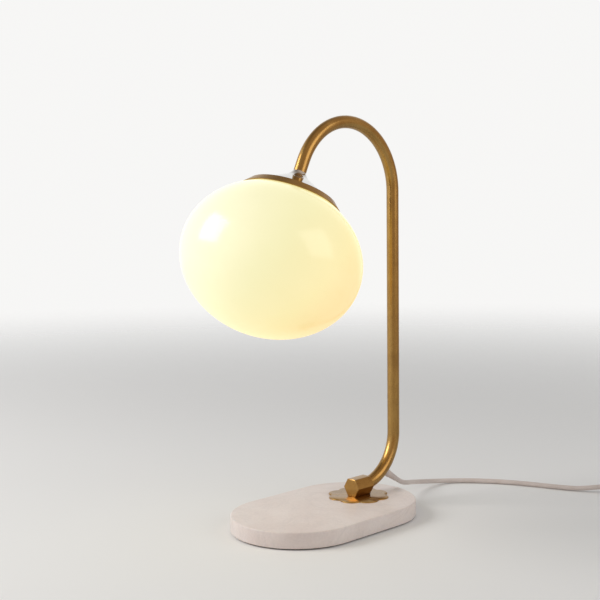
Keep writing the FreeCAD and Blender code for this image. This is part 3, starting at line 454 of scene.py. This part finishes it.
def bend_places(centre_x, centre_z, radius, start, sweep, steps, travelled):
    """Points on one of the arm's bends, each with its heading and the distance along the arm."""
    places = []
    for k in range(steps + 1):
        angle = start + sweep * k / steps
        point = Vector((centre_x + radius * cos(angle), 0, centre_z + radius * sin(angle)))
        heading = Vector((-sin(angle), 0, cos(angle)))
        places.append((point, heading, travelled + radius * (angle - start)))
    return places


def arm_line():
    """Points of the tube's centre line, with its heading and the distance along it."""
    stem_x = tube_start + foot_bend
    stem_low = tube_axis_height + foot_bend
    places = bend_places(tube_start, stem_low, foot_bend, -pi / 2, pi / 2, foot_steps, 0.0)
    travelled = places[-1][2]
    for k in range(1, stem_steps):
        height = stem_low + (stem_top - stem_low) * k / stem_steps
        places.append((Vector((stem_x, 0, height)), Vector((0, 0, 1)),
                       travelled + height - stem_low))
    travelled += stem_top - stem_low
    places += bend_places(stem_x - arch_bend, stem_top, arch_bend, 0.0, arch_turn, arch_steps,
                          travelled)
    last, _, travelled = places[-1]
    tail = (last - globe_centre).dot(head_axis) - tube_end
    for k in range(1, tail_steps + 1):
        reach = tail * k / tail_steps
        places.append((last - head_axis * reach, -head_axis, travelled + reach))
    return places


def bent_tube(around=48):
    """Tube wall swept along the arm, with a map that runs round it and along it."""
    bm = bmesh.new()
    lengthwise = bm.loops.layers.uv.new("along_tube")
    sideways = Vector((0, 1, 0))
    line = arm_line()
    where = {}
    walls = []
    for radius in (tube_radius, tube_bore):
        rings = []
        for point, heading, travelled in line:
            side = sideways.cross(heading)
            ring = []
            for k in range(around):
                angle = 2 * pi * k / around
                vert = bm.verts.new(point + (side * cos(angle) + sideways * sin(angle)) * radius)
                where[vert] = (k / around, travelled)
                ring.append(vert)
            rings.append(ring)
        rings_to_faces(bm, rings)
        walls.append(rings)
    for end in (0, -1):
        rings_to_faces(bm, [walls[0][end], walls[1][end]])
    bmesh.ops.recalc_face_normals(bm, faces=bm.faces)
    for face in bm.faces:
        turns = [where[loop.vert][0] for loop in face.loops]
        wraps = max(turns) - min(turns) > 0.5
        for loop in face.loops:
            turn, travelled = where[loop.vert]
            loop[lengthwise].uv = (turn + (1.0 if wraps and turn < 0.5 else 0.0), travelled)
    return bm


tube_brass = brushed_brass("tube_brass", (150.0, 90.0, 1.0), handling_scale=30.0,
                           rough=(0.22, 0.44), coat_rough=0.2, uv_map="along_tube")
finished("arm", bent_tube(), tube_brass, stands_for=("arm_tube",),
         smooth_angle=50)


# Cores: the flex's two insulated wires, which part from its sheath inside the bush and run up
# through the arm to the lampholder. They keep their own shapes.
def soft_plastic(name, light, dark, roughness, grain=900.0, depth=0.00002):
    """Moulded plastic with a faint mottle and a fine skin."""
    material, tree, shader = new_material(name)
    place = place_on(tree)
    mottle = noise(tree, place, scale=70.0, detail=4.0)
    skin = noise(tree, place, scale=grain, detail=2.0)
    connect(tree, shader, {
        "Base Color": ramp(tree, mottle, [(0.3, dark), (0.7, light)]),
        "Roughness": spread(tree, skin, roughness - 0.05, roughness + 0.07),
    })
    bumps(tree, shader, skin, depth)
    return material


paint("arm_cores", soft_plastic("core_sleeve", (0.20, 0.31, 0.48), (0.16, 0.26, 0.42), 0.42))


# Nipple, nut and plate: a threaded tube in the end of the arm, and a nut on it that clamps the
# pressed gallery plate against the end of the tube, all of zinc-plated steel. Three spring clips
# under the plate hold the glass by its lip, and a silicone gasket keeps glass and metal apart.
for hidden_node in ("arm_nipple", "plate_nut", "gallery_plate"):
    paint(hidden_node, zinc)
paint("glass_clips", plated_steel("spring_blue", (0.33, 0.34, 0.37), (0.22, 0.34)))
paint("shade_gasket", soft_plastic("gasket_silicone", (0.72, 0.72, 0.70), (0.66, 0.66, 0.64), 0.55))


# Gallery ring: turned from brass and soldered to the plate. Its sloping band sits on the shoulder
# of the glass, and its rounded top edge catches the light.
ring_foot = 0.0500
ring_top_radius = 0.0434
ring_bore = 0.0421
ring_top = 0.0684
ring_gap = 0.0004
ring_rim = 0.0007
ring_foot_face = 0.0005
ring_bore_drop = 0.0004
ring_shoulder = ((-0.0007, 0.0), (0.0001, -0.0001), (0.0007, -0.0009))
ring_ease = 0.0003
ring_steps = 8
glass_radius = 0.0874
glass_half_height = 0.0732
head_place = Matrix.Translation(globe_centre) @ Matrix.Rotation(head_tilt, 4, "Y")
least_turn = radians(6)
most_of_side = 0.45


def glass_height(radius):
    """Height of the glass's outside above its middle, at a distance from its axis."""
    return glass_half_height * sqrt(1 - (radius / glass_radius) ** 2)


def turned(outline, place, around=144, closed=True):
    """Shape turned from (radius, height) points, with its axis set by a place matrix."""
    bm = bmesh.new()
    rings = []
    for radius, height in outline:
        rings.append([bm.verts.new(place @ Vector((radius * cos(2 * pi * k / around),
                                                   radius * sin(2 * pi * k / around), height)))
                      for k in range(around)])
    rings_to_faces(bm, rings, closed)
    bmesh.ops.dissolve_degenerate(bm, dist=merge_gap, edges=bm.edges)
    return outwards(bm)


def eased(corners, radius, steps=4):
    """Closed outline with each corner rounded, as a polished edge is."""
    points = []
    count = len(corners)
    for k in range(count):
        before, corner, after = (Vector(corners[(k + shift) % count]) for shift in (-1, 0, 1))
        way_in = (corner - before).normalized()
        way_out = (after - corner).normalized()
        half = acos(max(-1.0, min(1.0, way_in.dot(way_out)))) / 2
        if half < least_turn:
            points.append(tuple(corner))
            continue
        reach = min(radius * tan(half), most_of_side * (corner - before).length,
                    most_of_side * (after - corner).length)
        first, last = corner - way_in * reach, corner + way_out * reach
        for step in range(steps + 1):
            share = step / steps
            points.append(tuple(first * (1 - share) ** 2 + corner * 2 * share * (1 - share)
                                + last * share ** 2))
    return points


def ring_outline():
    """Section of the ring: its underside follows the glass, its flank slopes up to the shoulder."""
    seat = ring_foot - ring_rim
    under = [seat - (seat - ring_bore) * k / ring_steps for k in range(ring_steps + 1)]
    inside = [(radius, glass_height(radius) + ring_gap) for radius in under]
    shoulder = [(ring_top_radius + out, ring_top + up) for out, up in ring_shoulder]
    outside = [(ring_bore, ring_top - ring_bore_drop), *shoulder,
               (ring_foot, inside[0][1] + ring_foot_face)]
    return eased(inside + outside, ring_ease)


ring_brass = brushed_brass("ring_brass", (900.0, 900.0, 900.0), 0.6)
finished("gallery_band", turned(ring_outline(), head_place), ring_brass,
         stands_for=("gallery_ring",))


# Cone: spun from thin sheet and nickel plated to a mirror. It drops over the tube and stands in
# the ring, and its flank mirrors the brass tube.
cone_foot_radius = 0.0419
cone_foot = 0.0668
cone_waist_radius = 0.0167
cone_waist = 0.0819
cone_throat_radius = 0.0102
cone_throat = 0.0862
cone_top = 0.0910
cone_sheet = 0.0008
cone_feather = 0.0006
cone_clearance = 0.00005
neck_overlap = 0.0024
throat_inset = 0.00055
throat_drop = 0.00085
cone_steps = 14


def arc_through(first, middle, last, steps):
    """Points of the arc through three points of a section."""
    (ax, ay), (bx, by), (cx, cy) = first, middle, last
    a_square, b_square, c_square = ax * ax + ay * ay, bx * bx + by * by, cx * cx + cy * cy
    twice_area = 2 * (ax * (by - cy) + bx * (cy - ay) + cx * (ay - by))
    ux = (a_square * (by - cy) + b_square * (cy - ay) + c_square * (ay - by)) / twice_area
    uy = (a_square * (cx - bx) + b_square * (ax - cx) + c_square * (bx - ax)) / twice_area
    radius = sqrt((ax - ux) ** 2 + (ay - uy) ** 2)
    start = atan2(ay - uy, ax - ux)
    sweep = (atan2(cy - uy, cx - ux) - start + pi) % (2 * pi) - pi
    turns = [start + sweep * k / steps for k in range(steps + 1)]
    return [(ux + radius * cos(turn), uy + radius * sin(turn)) for turn in turns]


def cone_outline():
    """Section of the sheet: a straight flank, then a sweep up into the neck, and back inside."""
    neck_bore = tube_radius + cone_clearance
    neck = neck_bore + cone_sheet
    slope = (cone_waist - cone_foot) / (cone_foot_radius - cone_waist_radius)
    drop = cone_sheet * sqrt(1 + slope ** 2)
    outer = [(cone_foot_radius, cone_foot)]
    outer += arc_through((cone_waist_radius, cone_waist), (cone_throat_radius, cone_throat),
                         (neck - cone_feather, cone_top), cone_steps)
    outer += [(neck_bore, cone_top)]
    inner = arc_through((neck_bore, cone_top - neck_overlap),
                        (cone_throat_radius - throat_inset, cone_throat - throat_drop),
                        (cone_waist_radius, cone_waist - drop), cone_steps)
    inner += [(cone_foot_radius, cone_foot - drop)]
    return outer + inner


def nickel_finish():
    """Mirror plating with faint wipe marks and the fine rings that spinning leaves."""
    material, tree, shader = new_material("bright_nickel")
    place = place_on(tree)
    wipes = noise(tree, place, scale=26.0, detail=6.0, roughness=0.65)
    rings_left = noise(tree, stretched(tree, place, (400.0, 400.0, 1600.0)), scale=1.0, detail=2.0)
    connect(tree, shader, {
        "Base Color": ramp(tree, wipes, [(0.3, (0.64, 0.635, 0.625)), (0.7, (0.72, 0.715, 0.71))]),
        "Metallic": 1.0,
        "Roughness": spread(tree, wipes, 0.03, 0.085),
    })
    bumps(tree, shader, rings_left, depth=0.000004, strength=0.4)
    return material


finished("bright_cone", turned(cone_outline(), head_place), nickel_finish(),
         stands_for=("shade_cone",))


# Globe: blown opal glass, flattened, tilted as the end of the arm is. The opal layer hides the
# bulb and glows warm all over; its glow is painted whiter on one side as painted daylight, and
# warmer and darker low on the other side as painted shade.
glass_wall = 0.0025
mouth_radius = 0.0243
lip_radius = 0.0270
lip_top = 0.0714
lip_round = ((0.0, 0.0006), (0.0002, 0.0002), (0.0007, 0.0))
# Painted shade: the glow colours below run from painted daylight, whiter, to painted shade, warmer
# and darker, along this way.
painted_shade_way = Vector((0.56, -0.50, -0.66))
glow_and_painted_shade_colours = [(0.0, (0.60, 0.58, 0.31)), (0.45, (0.63, 0.58, 0.235)),
                (0.75, (0.66, 0.54, 0.16)), (1.0, (0.68, 0.43, 0.07))]
glow_drift = 0.05


def glass_arc(radius, half_height, start, end, steps=72):
    """Points of the flattened section between two angles above its middle."""
    angles = [start + (end - start) * k / steps for k in range(steps + 1)]
    return [(radius * cos(angle), half_height * sin(angle)) for angle in angles]


def globe_outline():
    """Section of the glass: up the outside, over the fire-polished lip, and down the inside."""
    inner_radius = glass_radius - glass_wall
    outer = glass_arc(glass_radius, glass_half_height, -pi / 2, acos(lip_radius / glass_radius))
    lip = [(lip_radius - inset, lip_top - drop) for inset, drop in lip_round]
    lip += [(mouth_radius + inset, lip_top - drop) for inset, drop in reversed(lip_round)]
    inner = glass_arc(inner_radius, glass_half_height - glass_wall,
                      acos(mouth_radius / inner_radius), -pi / 2)
    return [(max(radius, 0.0), height) for radius, height in outer + lip + inner]


def along_way(tree, vector, way):
    """How far a vector reaches in a direction."""
    return add(tree, "VectorMath", {0: vector, 1: tuple(way)},
               operation="DOT_PRODUCT").outputs["Value"]


def opal_finish():
    """Glow with painted shade, warmest and darkest low on the side away from the daylight, and
    painted daylight, whiter on the other side, under a glossy milky skin.
    """
    material, tree, shader = new_material("opal_glass")
    place = place_on(tree)
    from_bulb = add(tree, "VectorMath", {0: place, 1: tuple(globe_centre)},
                    operation="SUBTRACT").outputs["Vector"]
    # Painted shade and painted daylight: how far along the shaded way a point lies picks its glow
    # colour.
    painted_shade = spread(tree, along_way(tree, from_bulb, painted_shade_way), 0.0, 1.0,
                   -glass_radius, glass_radius)
    streaks = noise(tree, place, scale=9.0, detail=2.0, roughness=0.5, distortion=0.5)
    drift = spread(tree, streaks, -glow_drift, glow_drift)
    seed = noise(tree, place, scale=22.0, detail=3.0)
    connect(tree, shader, {
        "Base Color": ramp(tree, seed, [(0.3, (0.47, 0.465, 0.45)), (0.7, (0.50, 0.495, 0.48))]),
        "Roughness": spread(tree, seed, 0.16, 0.22),
        # The emission colour carries the painted daylight and painted shade, with a random drift on
        # top.
        "Emission Color": ramp(tree, worked_out(tree, "ADD", painted_shade, drift), glow_and_painted_shade_colours),
        "Emission Strength": 1.0,
        "IOR": 1.5,
    })
    return material


opal = opal_finish()
finished("opal_globe", turned(globe_outline(), head_place, closed=False), opal, body="globe",
         stands_for=("glass_globe",), smooth_angle=60)


# Lampholder: a black moulded cap and skirt with a ceramic core, its brass shell, spring tongue and
# screws. It hangs on the nipple inside the mouth of the glass. The nodes keep their shapes.
holder_black = soft_plastic("holder_black", (0.030, 0.029, 0.028), (0.018, 0.018, 0.017), 0.38)
steatite = soft_plastic("steatite", (0.80, 0.79, 0.75), (0.72, 0.71, 0.67), 0.62, 500.0, 0.00005)
strip_brass = plated_steel("strip_brass", (0.66, 0.49, 0.22), (0.20, 0.34))
for holder_node in ("holder_cap", "holder_skirt"):
    paint(holder_node, holder_black)
paint("holder_insert", steatite)
for holder_node in ("contact_shell", "centre_contact", "terminal_screws"):
    paint(holder_node, strip_brass)


# Bulb: an LED bulb with a small screw cap, a white housing and a frosted ball that glows. The
# globe hides it until the glass is pulled off.
def bulb_ball_finish():
    """Frosted plastic that glows warm."""
    material, tree, shader = new_material("frosted_ball")
    place = place_on(tree)
    frost = noise(tree, place, scale=800.0, detail=2.0)
    tone = noise(tree, place, scale=30.0, detail=2.0)
    connect(tree, shader, {
        "Base Color": ramp(tree, tone, [(0.3, (0.88, 0.85, 0.78)), (0.7, (0.92, 0.89, 0.83))]),
        "Roughness": 0.5,
        "Emission Color": ramp(tree, tone, [(0.3, (1.0, 0.80, 0.50)), (0.7, (1.0, 0.84, 0.56))]),
        "Emission Strength": 1.0,
    })
    bumps(tree, shader, frost, depth=0.00002)
    return material


paint("bulb_diffuser", bulb_ball_finish())
paint("bulb_housing", soft_plastic("bulb_white", (0.80, 0.80, 0.78), (0.76, 0.76, 0.74), 0.28))
paint("bulb_cap", plated_steel("cap_nickel", (0.68, 0.68, 0.67), (0.18, 0.3)))
paint("bulb_tip", holder_black)


# Bush: the tapered strain relief moulded on the flex where it leaves the back of the foot bend.
# It is the same off-white as the flex, and ribs round it let it bend evenly.
bush_tip = Vector((0.1105, 0, 0.0237))
bush_way = (Vector((0.1186, 0, 0.0187)) - bush_tip).normalized()
bush_base_radius = 0.0039
bush_tip_radius = 0.0031
bush_outside = 0.020
bush_inside = 0.003
bush_ease = 0.0006
bush_round = 0.0004
bush_core_share = 0.6
rib_start = 0.0045
rib_step = 0.0036
rib_height = 0.0005
rib_half_width = 0.0011
rib_count = 4
rib_around = 48
rib_section_points = 14


def flex_white_finish(name):
    """Off-white soft plastic with a slightly rubbed surface."""
    material, tree, shader = new_material(name)
    place = place_on(tree)
    mottle = noise(tree, place, scale=60.0, detail=4.0)
    skin = noise(tree, place, scale=1400.0, detail=2.0)
    connect(tree, shader, {
        "Base Color": ramp(tree, mottle, [(0.3, (0.57, 0.49, 0.45)), (0.7, (0.65, 0.57, 0.53))]),
        "Roughness": spread(tree, skin, 0.36, 0.5),
        "Subsurface Weight": 0.05,
        "Subsurface Radius": (0.002, 0.0015, 0.001),
    })
    bumps(tree, shader, skin, depth=0.00002)
    return material


flex_white = flex_white_finish("flex_white")


def bush_outline():
    """Section along the flex: tail, smooth root, slimmer core under the ribs and rounded tip."""
    core_tip = bush_tip_radius - rib_height * bush_core_share
    return [(0.0, -bush_inside), (bush_base_radius, -bush_inside),
            (bush_base_radius, rib_start - bush_ease), (bush_base_radius - rib_height, rib_start),
            (core_tip, bush_outside - bush_ease), (core_tip - bush_round, bush_outside),
            (0.0, bush_outside)]


def standing(start, way):
    """Place matrix that sets a turned shape at a point, with its axis along a way."""
    turn = Vector((0, 0, 1)).rotation_difference(way)
    return Matrix.Translation(start) @ turn.to_matrix().to_4x4()


def rib_tree():
    """Geometry Nodes tree: round ribs on a straight line, each a little smaller than the last."""
    tree = bpy.data.node_groups.new("flexing_ribs", "GeometryNodeTree")
    tree.is_modifier = True
    for title, kind in (("Ribs", "Int"), ("Step", "Float"), ("First Radius", "Float"),
                        ("Last Radius", "Float"), ("Half Width", "Float"),
                        ("Material", "Material")):
        tree.interface.new_socket(title, in_out="INPUT", socket_type="NodeSocket" + kind)
    tree.interface.new_socket("Geometry", in_out="OUTPUT", socket_type="NodeSocketGeometry")
    given = tree.nodes.new("NodeGroupInput").outputs
    line, hoop, section, sweep, put, real, coat, order, size, way, last, slimness, result = (
        tree.nodes.new(kind) for kind in (
            "GeometryNodeMeshLine", "GeometryNodeCurvePrimitiveCircle",
            "GeometryNodeCurvePrimitiveCircle", "GeometryNodeCurveToMesh",
            "GeometryNodeInstanceOnPoints", "GeometryNodeRealizeInstances",
            "GeometryNodeSetMaterial", "GeometryNodeInputIndex", "ShaderNodeMapRange",
            "ShaderNodeCombineXYZ", "ShaderNodeMath", "ShaderNodeMath", "NodeGroupOutput"))
    slimness.operation = "DIVIDE"
    last.operation = "SUBTRACT"
    last.inputs[1].default_value = 1.0
    hoop.inputs["Resolution"].default_value = rib_around
    hoop.inputs["Radius"].default_value = 1.0
    section.inputs["Resolution"].default_value = rib_section_points
    for start, end in (
            (given["Ribs"], line.inputs["Count"]),
            (given["Step"], way.inputs["Z"]),
            (way.outputs["Vector"], line.inputs["Offset"]),
            (given["Ribs"], last.inputs[0]),
            (order.outputs["Index"], size.inputs["Value"]),
            (last.outputs["Value"], size.inputs["From Max"]),
            (given["First Radius"], size.inputs["To Min"]),
            (given["Last Radius"], size.inputs["To Max"]),
            (given["Half Width"], slimness.inputs[0]),
            (given["First Radius"], slimness.inputs[1]),
            (slimness.outputs["Value"], section.inputs["Radius"]),
            (hoop.outputs["Curve"], sweep.inputs["Curve"]),
            (section.outputs["Curve"], sweep.inputs["Profile Curve"]),
            (line.outputs["Mesh"], put.inputs["Points"]),
            (sweep.outputs["Mesh"], put.inputs["Instance"]),
            (size.outputs["Result"], put.inputs["Scale"]),
            (put.outputs["Instances"], real.inputs["Geometry"]),
            (real.outputs["Geometry"], coat.inputs["Geometry"]),
            (given["Material"], coat.inputs["Material"]),
            (coat.outputs["Geometry"], result.inputs["Geometry"])):
        tree.links.new(start, end)
    return tree


def ribs_along(name, start, way, slot, **sizes):
    """Plain mesh of the ribs that the tree makes for these sizes, set on a line from start."""
    tree = rib_tree()
    carrier = bpy.data.objects.new(name + "_carrier", bpy.data.meshes.new(name + "_carrier"))
    bpy.context.scene.collection.objects.link(carrier)
    made = carrier.modifiers.new("ribs", "NODES")
    made.node_group = tree
    for socket in tree.interface.items_tree:
        if socket.in_out == "INPUT":
            made[socket.identifier] = sizes[socket.name.lower().replace(" ", "_")]
    bpy.context.view_layer.update()
    depsgraph = bpy.context.evaluated_depsgraph_get()
    mesh = bpy.data.meshes.new_from_object(carrier.evaluated_get(depsgraph))
    carrier.modifiers.remove(made)
    bpy.data.objects.remove(carrier)
    mesh.transform(standing(start, way))
    bm = bmesh.new()
    bm.from_mesh(mesh)
    bpy.data.meshes.remove(mesh)
    bmesh.ops.recalc_face_normals(bm, faces=bm.faces)
    return finished(name, bm, sizes["material"])


def bush_radius(along):
    return bush_base_radius + (bush_tip_radius - bush_base_radius) * along / bush_outside


bush_start = bush_tip - bush_way * bush_outside
first_rib = rib_start + rib_step / 2
last_rib = first_rib + rib_step * (rib_count - 1)
finished("flex_bush", turned(bush_outline(), standing(bush_start, bush_way), 48, closed=False),
         flex_white, stands_for=("cord_bush",))
ribs_along("bush_ribs", bush_start + bush_way * first_rib, bush_way, "flex_white",
           ribs=rib_count, step=rib_step, half_width=rib_half_width, material=flex_white,
           first_radius=bush_radius(first_rib) - rib_half_width,
           last_radius=bush_radius(last_rib) - rib_half_width)


# Flex, first length: round two-core flex that comes down from the bush to the surface the lamp
# stands on, and runs off to the right as far as the switch.
flex_diameter = 0.0052
lead_route = [
    (0.1105, 0, 0.0237), (0.1186, 0, 0.0187), (0.130, 0.0024, 0.0152),
    (0.146, 0.008, 0.0120), (0.1655, 0.011, 0.0082), (0.186, 0.0105, 0.0050),
    (0.203, 0.0055, 0.0031), (0.218, -0.0065, 0.0027), (0.2315, -0.0235, 0.0027),
    (0.2435, -0.0425, 0.0027), (0.2525, -0.0625, 0.0027), (0.2595, -0.083, 0.0027),
    (0.266, -0.104, 0.0027), (0.2735, -0.124, 0.0031), (0.2815, -0.1395, 0.0058),
    (0.2899, -0.1566, 0.0085),
]
switch_centre = Vector((0.309, -0.205, 0.0085))
switch_heading = radians(-68.5)
switch_way = Vector((cos(switch_heading), sin(switch_heading), 0))
switch_reach = 0.043


def flex_curve(name, points):
    """Round flex on one smooth line that is led by the points of its route."""
    curve = bpy.data.curves.new(name, "CURVE")
    curve.dimensions = "3D"
    spline = curve.splines.new("NURBS")
    spline.points.add(len(points) - 1)
    for place, point in zip(spline.points, points):
        place.co = (*point, 1)
    spline.order_u = 3
    spline.use_endpoint_u = True
    spline.resolution_u = 8
    curve.bevel_depth = flex_diameter / 2
    curve.bevel_resolution = 6
    curve.use_fill_caps = True
    curve.materials.append(flex_white)
    piece = bpy.data.objects.new(name, curve)
    bpy.context.scene.collection.objects.link(piece)
    return piece


def line_length(points):
    """Length of the smooth line that a route leads, from a plain curve on the same points."""
    plain = flex_curve("measuring_line", points)
    plain.data.bevel_depth = 0.0
    plain.data.use_fill_caps = False
    mesh = bpy.data.meshes.new_from_object(plain)
    ends = [[mesh.vertices[index].co for index in edge.vertices] for edge in mesh.edges]
    length = sum((first - second).length for first, second in ends)
    bpy.data.meshes.remove(mesh)
    bpy.data.objects.remove(plain)
    return length


lead_points = lead_route + [tuple(switch_centre - switch_way * switch_reach)]
lead = declared(flex_curve("flex_lead", lead_points), "lamp", ("cord_lead",))


# Switch: an in-line rocker switch in two moulded shells, screwed together from below, with a
# tapered sleeve on the flex at each end. The rocker turns on a steel pin.
node_merge_gap = 2e-6
flat_within = radians(1)


def smooth_copy(node, name, material, body="lamp", angle=32):
    """A CAD node's own shape with its points merged and smooth shading."""
    bm = bmesh.new()
    bm.from_mesh(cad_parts[node].data)
    bmesh.ops.remove_doubles(bm, verts=bm.verts, dist=node_merge_gap)
    bmesh.ops.dissolve_limit(bm, angle_limit=flat_within, verts=bm.verts, edges=bm.edges)
    return finished(name, bm, material, body, (node,), angle)


shell_white = soft_plastic("shell_white", (0.74, 0.70, 0.66), (0.70, 0.66, 0.62), 0.34, 1100.0)
switch_pieces = [
    smooth_copy("switch_base", "switch_lower_shell", shell_white),
    smooth_copy("switch_cover", "switch_upper_shell", shell_white),
    smooth_copy("switch_sleeves", "switch_flex_sleeves", flex_white),
    smooth_copy("switch_rocker", "switch_rocker_key", shell_white, "rocker"),
]
for metal_node in ("rocker_pin", "switch_screws"):
    paint(metal_node, zinc)
paint("switch_contacts", strip_brass)
line_length(lead_points)


# Flex, second length: from the switch it turns back, and what is left over is wound in a neat coil
# of six turns in two layers. Its last stretch leaves the coil for the plug.
mid_route = [
    (0.3281, -0.2535, 0.0085), (0.332, -0.2665, 0.0062), (0.3318, -0.2835, 0.0042),
    (0.322, -0.299, 0.0039), (0.3035, -0.3076, 0.0039), (0.2846, -0.3058, 0.0039),
]
tail_route = [
    (0.2435, -0.3058, 0.0096), (0.225, -0.3053, 0.0083), (0.204, -0.3038, 0.0071),
    (0.184, -0.3018, 0.0068), (0.1645, -0.3006, 0.0068),
]
coil_centre = Vector((0.262, -0.26895, 0.0039))
coil_inner_radius = 0.0226
coil_pitch = 0.0057
coil_half_turns = 12
points_per_half_turn = 8


def coil_route():
    """Points of the coil: a spiral in, a climb in the innermost half turn, a spiral out above."""
    climb = coil_half_turns // 2 - 1
    radii = [coil_inner_radius + abs(k - climb) * coil_pitch / 2 for k in range(coil_half_turns)]
    step = pi / points_per_half_turn
    end_y = -radii[0]
    points = [coil_centre + Vector((flex_diameter, end_y, 0))]
    for k, radius in enumerate(radii):
        side = 1 if k % 2 == 0 else -1
        middle_y = end_y + side * radius
        for j in range(points_per_half_turn):
            angle = (j + 0.5) * step
            rise = 0.0 if k < climb else coil_pitch
            if k == climb:
                rise = coil_pitch * (j + 0.5) / points_per_half_turn
            reach = side * radius / cos(step / 2)
            points.append(coil_centre + Vector((-reach * sin(angle),
                                                middle_y - reach * cos(angle), rise)))
        end_y += side * 2 * radius
    points.append(coil_centre + Vector((-flex_diameter, end_y, coil_pitch)))
    return [tuple(point) for point in points]


supply_points = [tuple(switch_centre + switch_way * switch_reach), *mid_route, *coil_route(),
                 *tail_route]
supply = declared(flex_curve("flex_supply", supply_points), "lamp",
                  ("cord_mid", "cord_coil", "cord_tail"))


# Tie: a strip of black hook-and-loop strap, put round one side of the coil to hold its turns
# together. It keeps its CAD shape, with its points merged.
strap_colours = [(0.2, (0.012, 0.012, 0.013)), (0.8, (0.035, 0.035, 0.037))]


def strap_finish():
    material, tree, shader = new_material("tie_strap")
    loops = cells(tree, place_on(tree), scale=1600.0)
    connect(tree, shader, {
        "Base Color": ramp(tree, loops, strap_colours),
        "Roughness": 0.85,
        "Sheen Weight": 0.3,
        "Sheen Roughness": 0.5,
    })
    bumps(tree, shader, loops, depth=0.0003)
    return material


tie = smooth_copy("coil_tie", "coil_strap", strap_finish())


# Plug: a flat two-pin plug moulded on the flex, with a ribbed tapered sleeve, plated round pins and
# dark insulating sleeves on their roots.
plug = smooth_copy("plug_body", "plug_moulding", flex_white)
plug_metal = plated_steel("pin_nickel", (0.66, 0.66, 0.65), (0.16, 0.28))
pins = smooth_copy("plug_pins", "plug_two_pins", plug_metal)
pin_guards = smooth_copy("pin_sleeves", "plug_pin_guards", holder_black)
line_length(supply_points)


# Studio: a pale floor that fades into the background, soft lamps, and even light all round. What
# shines mirrors a warmer, dimmer side to the right and in front. None of it belongs to the lamp.
background = (0.93, 0.925, 0.915)
ceiling = (0.27, 0.23, 0.19)
ceiling_fade = (0.35, 0.95)
dim_side = (0.55, 0.44, 0.35, 1)
dim_way = Vector((0.26, -0.96, 0.1)).normalized()
dim_fade = (-0.25, 0.45)
even_colour = (0.96, 0.98, 1.0, 1)
even_strength = 0.42
floor_colour = (0.86, 0.85, 0.835, 1)
floor_reach = 6.0
floor_height = -0.0002
floor_fade = (0.5, 2.4)


def faded(tree, value, start, end):
    """Soft step from 0 at the start value to 1 at the end value."""
    return add(tree, "MapRange", {"Value": value, "From Min": start, "From Max": end},
               interpolation_type="SMOOTHSTEP").outputs["Result"]


def studio_floor():
    """Pale floor that turns clear with distance, so that it meets the background unseen."""
    material, tree, shader = new_material("studio_floor")
    distance = add(tree, "VectorMath", {0: place_on(tree)}, operation="LENGTH").outputs["Value"]
    connect(tree, shader, {"Base Color": floor_colour, "Roughness": 0.7,
                           "Specular IOR Level": 0.2})
    clear = add(tree, "BsdfTransparent")
    mixed = add(tree, "MixShader", {"Fac": faded(tree, distance, *floor_fade),
                                    1: shader.outputs["BSDF"], 2: clear.outputs["BSDF"]})
    tree.links.new(mixed.outputs["Shader"], tree.nodes["Material Output"].inputs["Surface"])
    mesh = bpy.data.meshes.new("floor")
    corners = [(x * floor_reach, y * floor_reach, floor_height)
               for x, y in ((-1, -1), (1, -1), (1, 1), (-1, 1))]
    mesh.from_pydata(corners, [], [(0, 1, 2, 3)])
    mesh.materials.append(material)
    floor = bpy.data.objects.new("floor", mesh)
    bpy.context.scene.collection.objects.link(floor)


studio_floor()

world = bpy.data.worlds.new("studio")
bpy.context.scene.world = world
world.use_nodes = True
sky = world.node_tree
even_light = sky.nodes["Background"]
even_light.inputs["Color"].default_value = even_colour
even_light.inputs["Strength"].default_value = even_strength
heading = add(sky, "TexCoord").outputs["Generated"]
path = add(sky, "LightPath").outputs
overhead = add(sky, "SeparateXYZ", {"Vector": heading}).outputs["Z"]
open_side = ramp(sky, faded(sky, overhead, *ceiling_fade), [(0.0, background), (1.0, ceiling)])
toward_dim = faded(sky, along_way(sky, heading, dim_way), *dim_fade)
dimming = worked_out(sky, "MULTIPLY", toward_dim, path["Is Glossy Ray"])
seen = add(sky, "Background", {"Color": blended(sky, dimming, open_side, dim_side),
                               "Strength": 1.0})
direct = worked_out(sky, "MAXIMUM", path["Is Camera Ray"], path["Is Transmission Ray"])
backdrop = add(sky, "MixShader", {
    "Fac": worked_out(sky, "MAXIMUM", direct, path["Is Glossy Ray"]),
    1: even_light.outputs["Background"],
    2: seen.outputs["Background"],
})
sky.links.new(backdrop.outputs["Shader"], sky.nodes["World Output"].inputs["Surface"])


def soft_lamp(name, place, aim, size, power, colour):
    """Square area lamp at a place, turned to face its aim."""
    light = bpy.data.lights.new(name, "AREA")
    light.size = size
    light.energy = power
    light.color = colour
    lamp = bpy.data.objects.new(name, light)
    lamp.location = place
    lamp.rotation_euler = (Vector(place) - Vector(aim)).to_track_quat("Z", "Y").to_euler()
    bpy.context.scene.collection.objects.link(lamp)


soft_lamp("day_side", place=(-1.1, 0.9, 1.0), aim=(-0.02, 0, 0.2), size=0.9, power=16.0,
          colour=(1.0, 0.98, 0.96))
soft_lamp("front_fill", place=(0.5, -1.6, 0.9), aim=(0, 0, 0.15), size=1.2, power=7.0,
          colour=(1.0, 0.97, 0.94))

bpy.context.scene.view_settings.view_transform = "Standard"
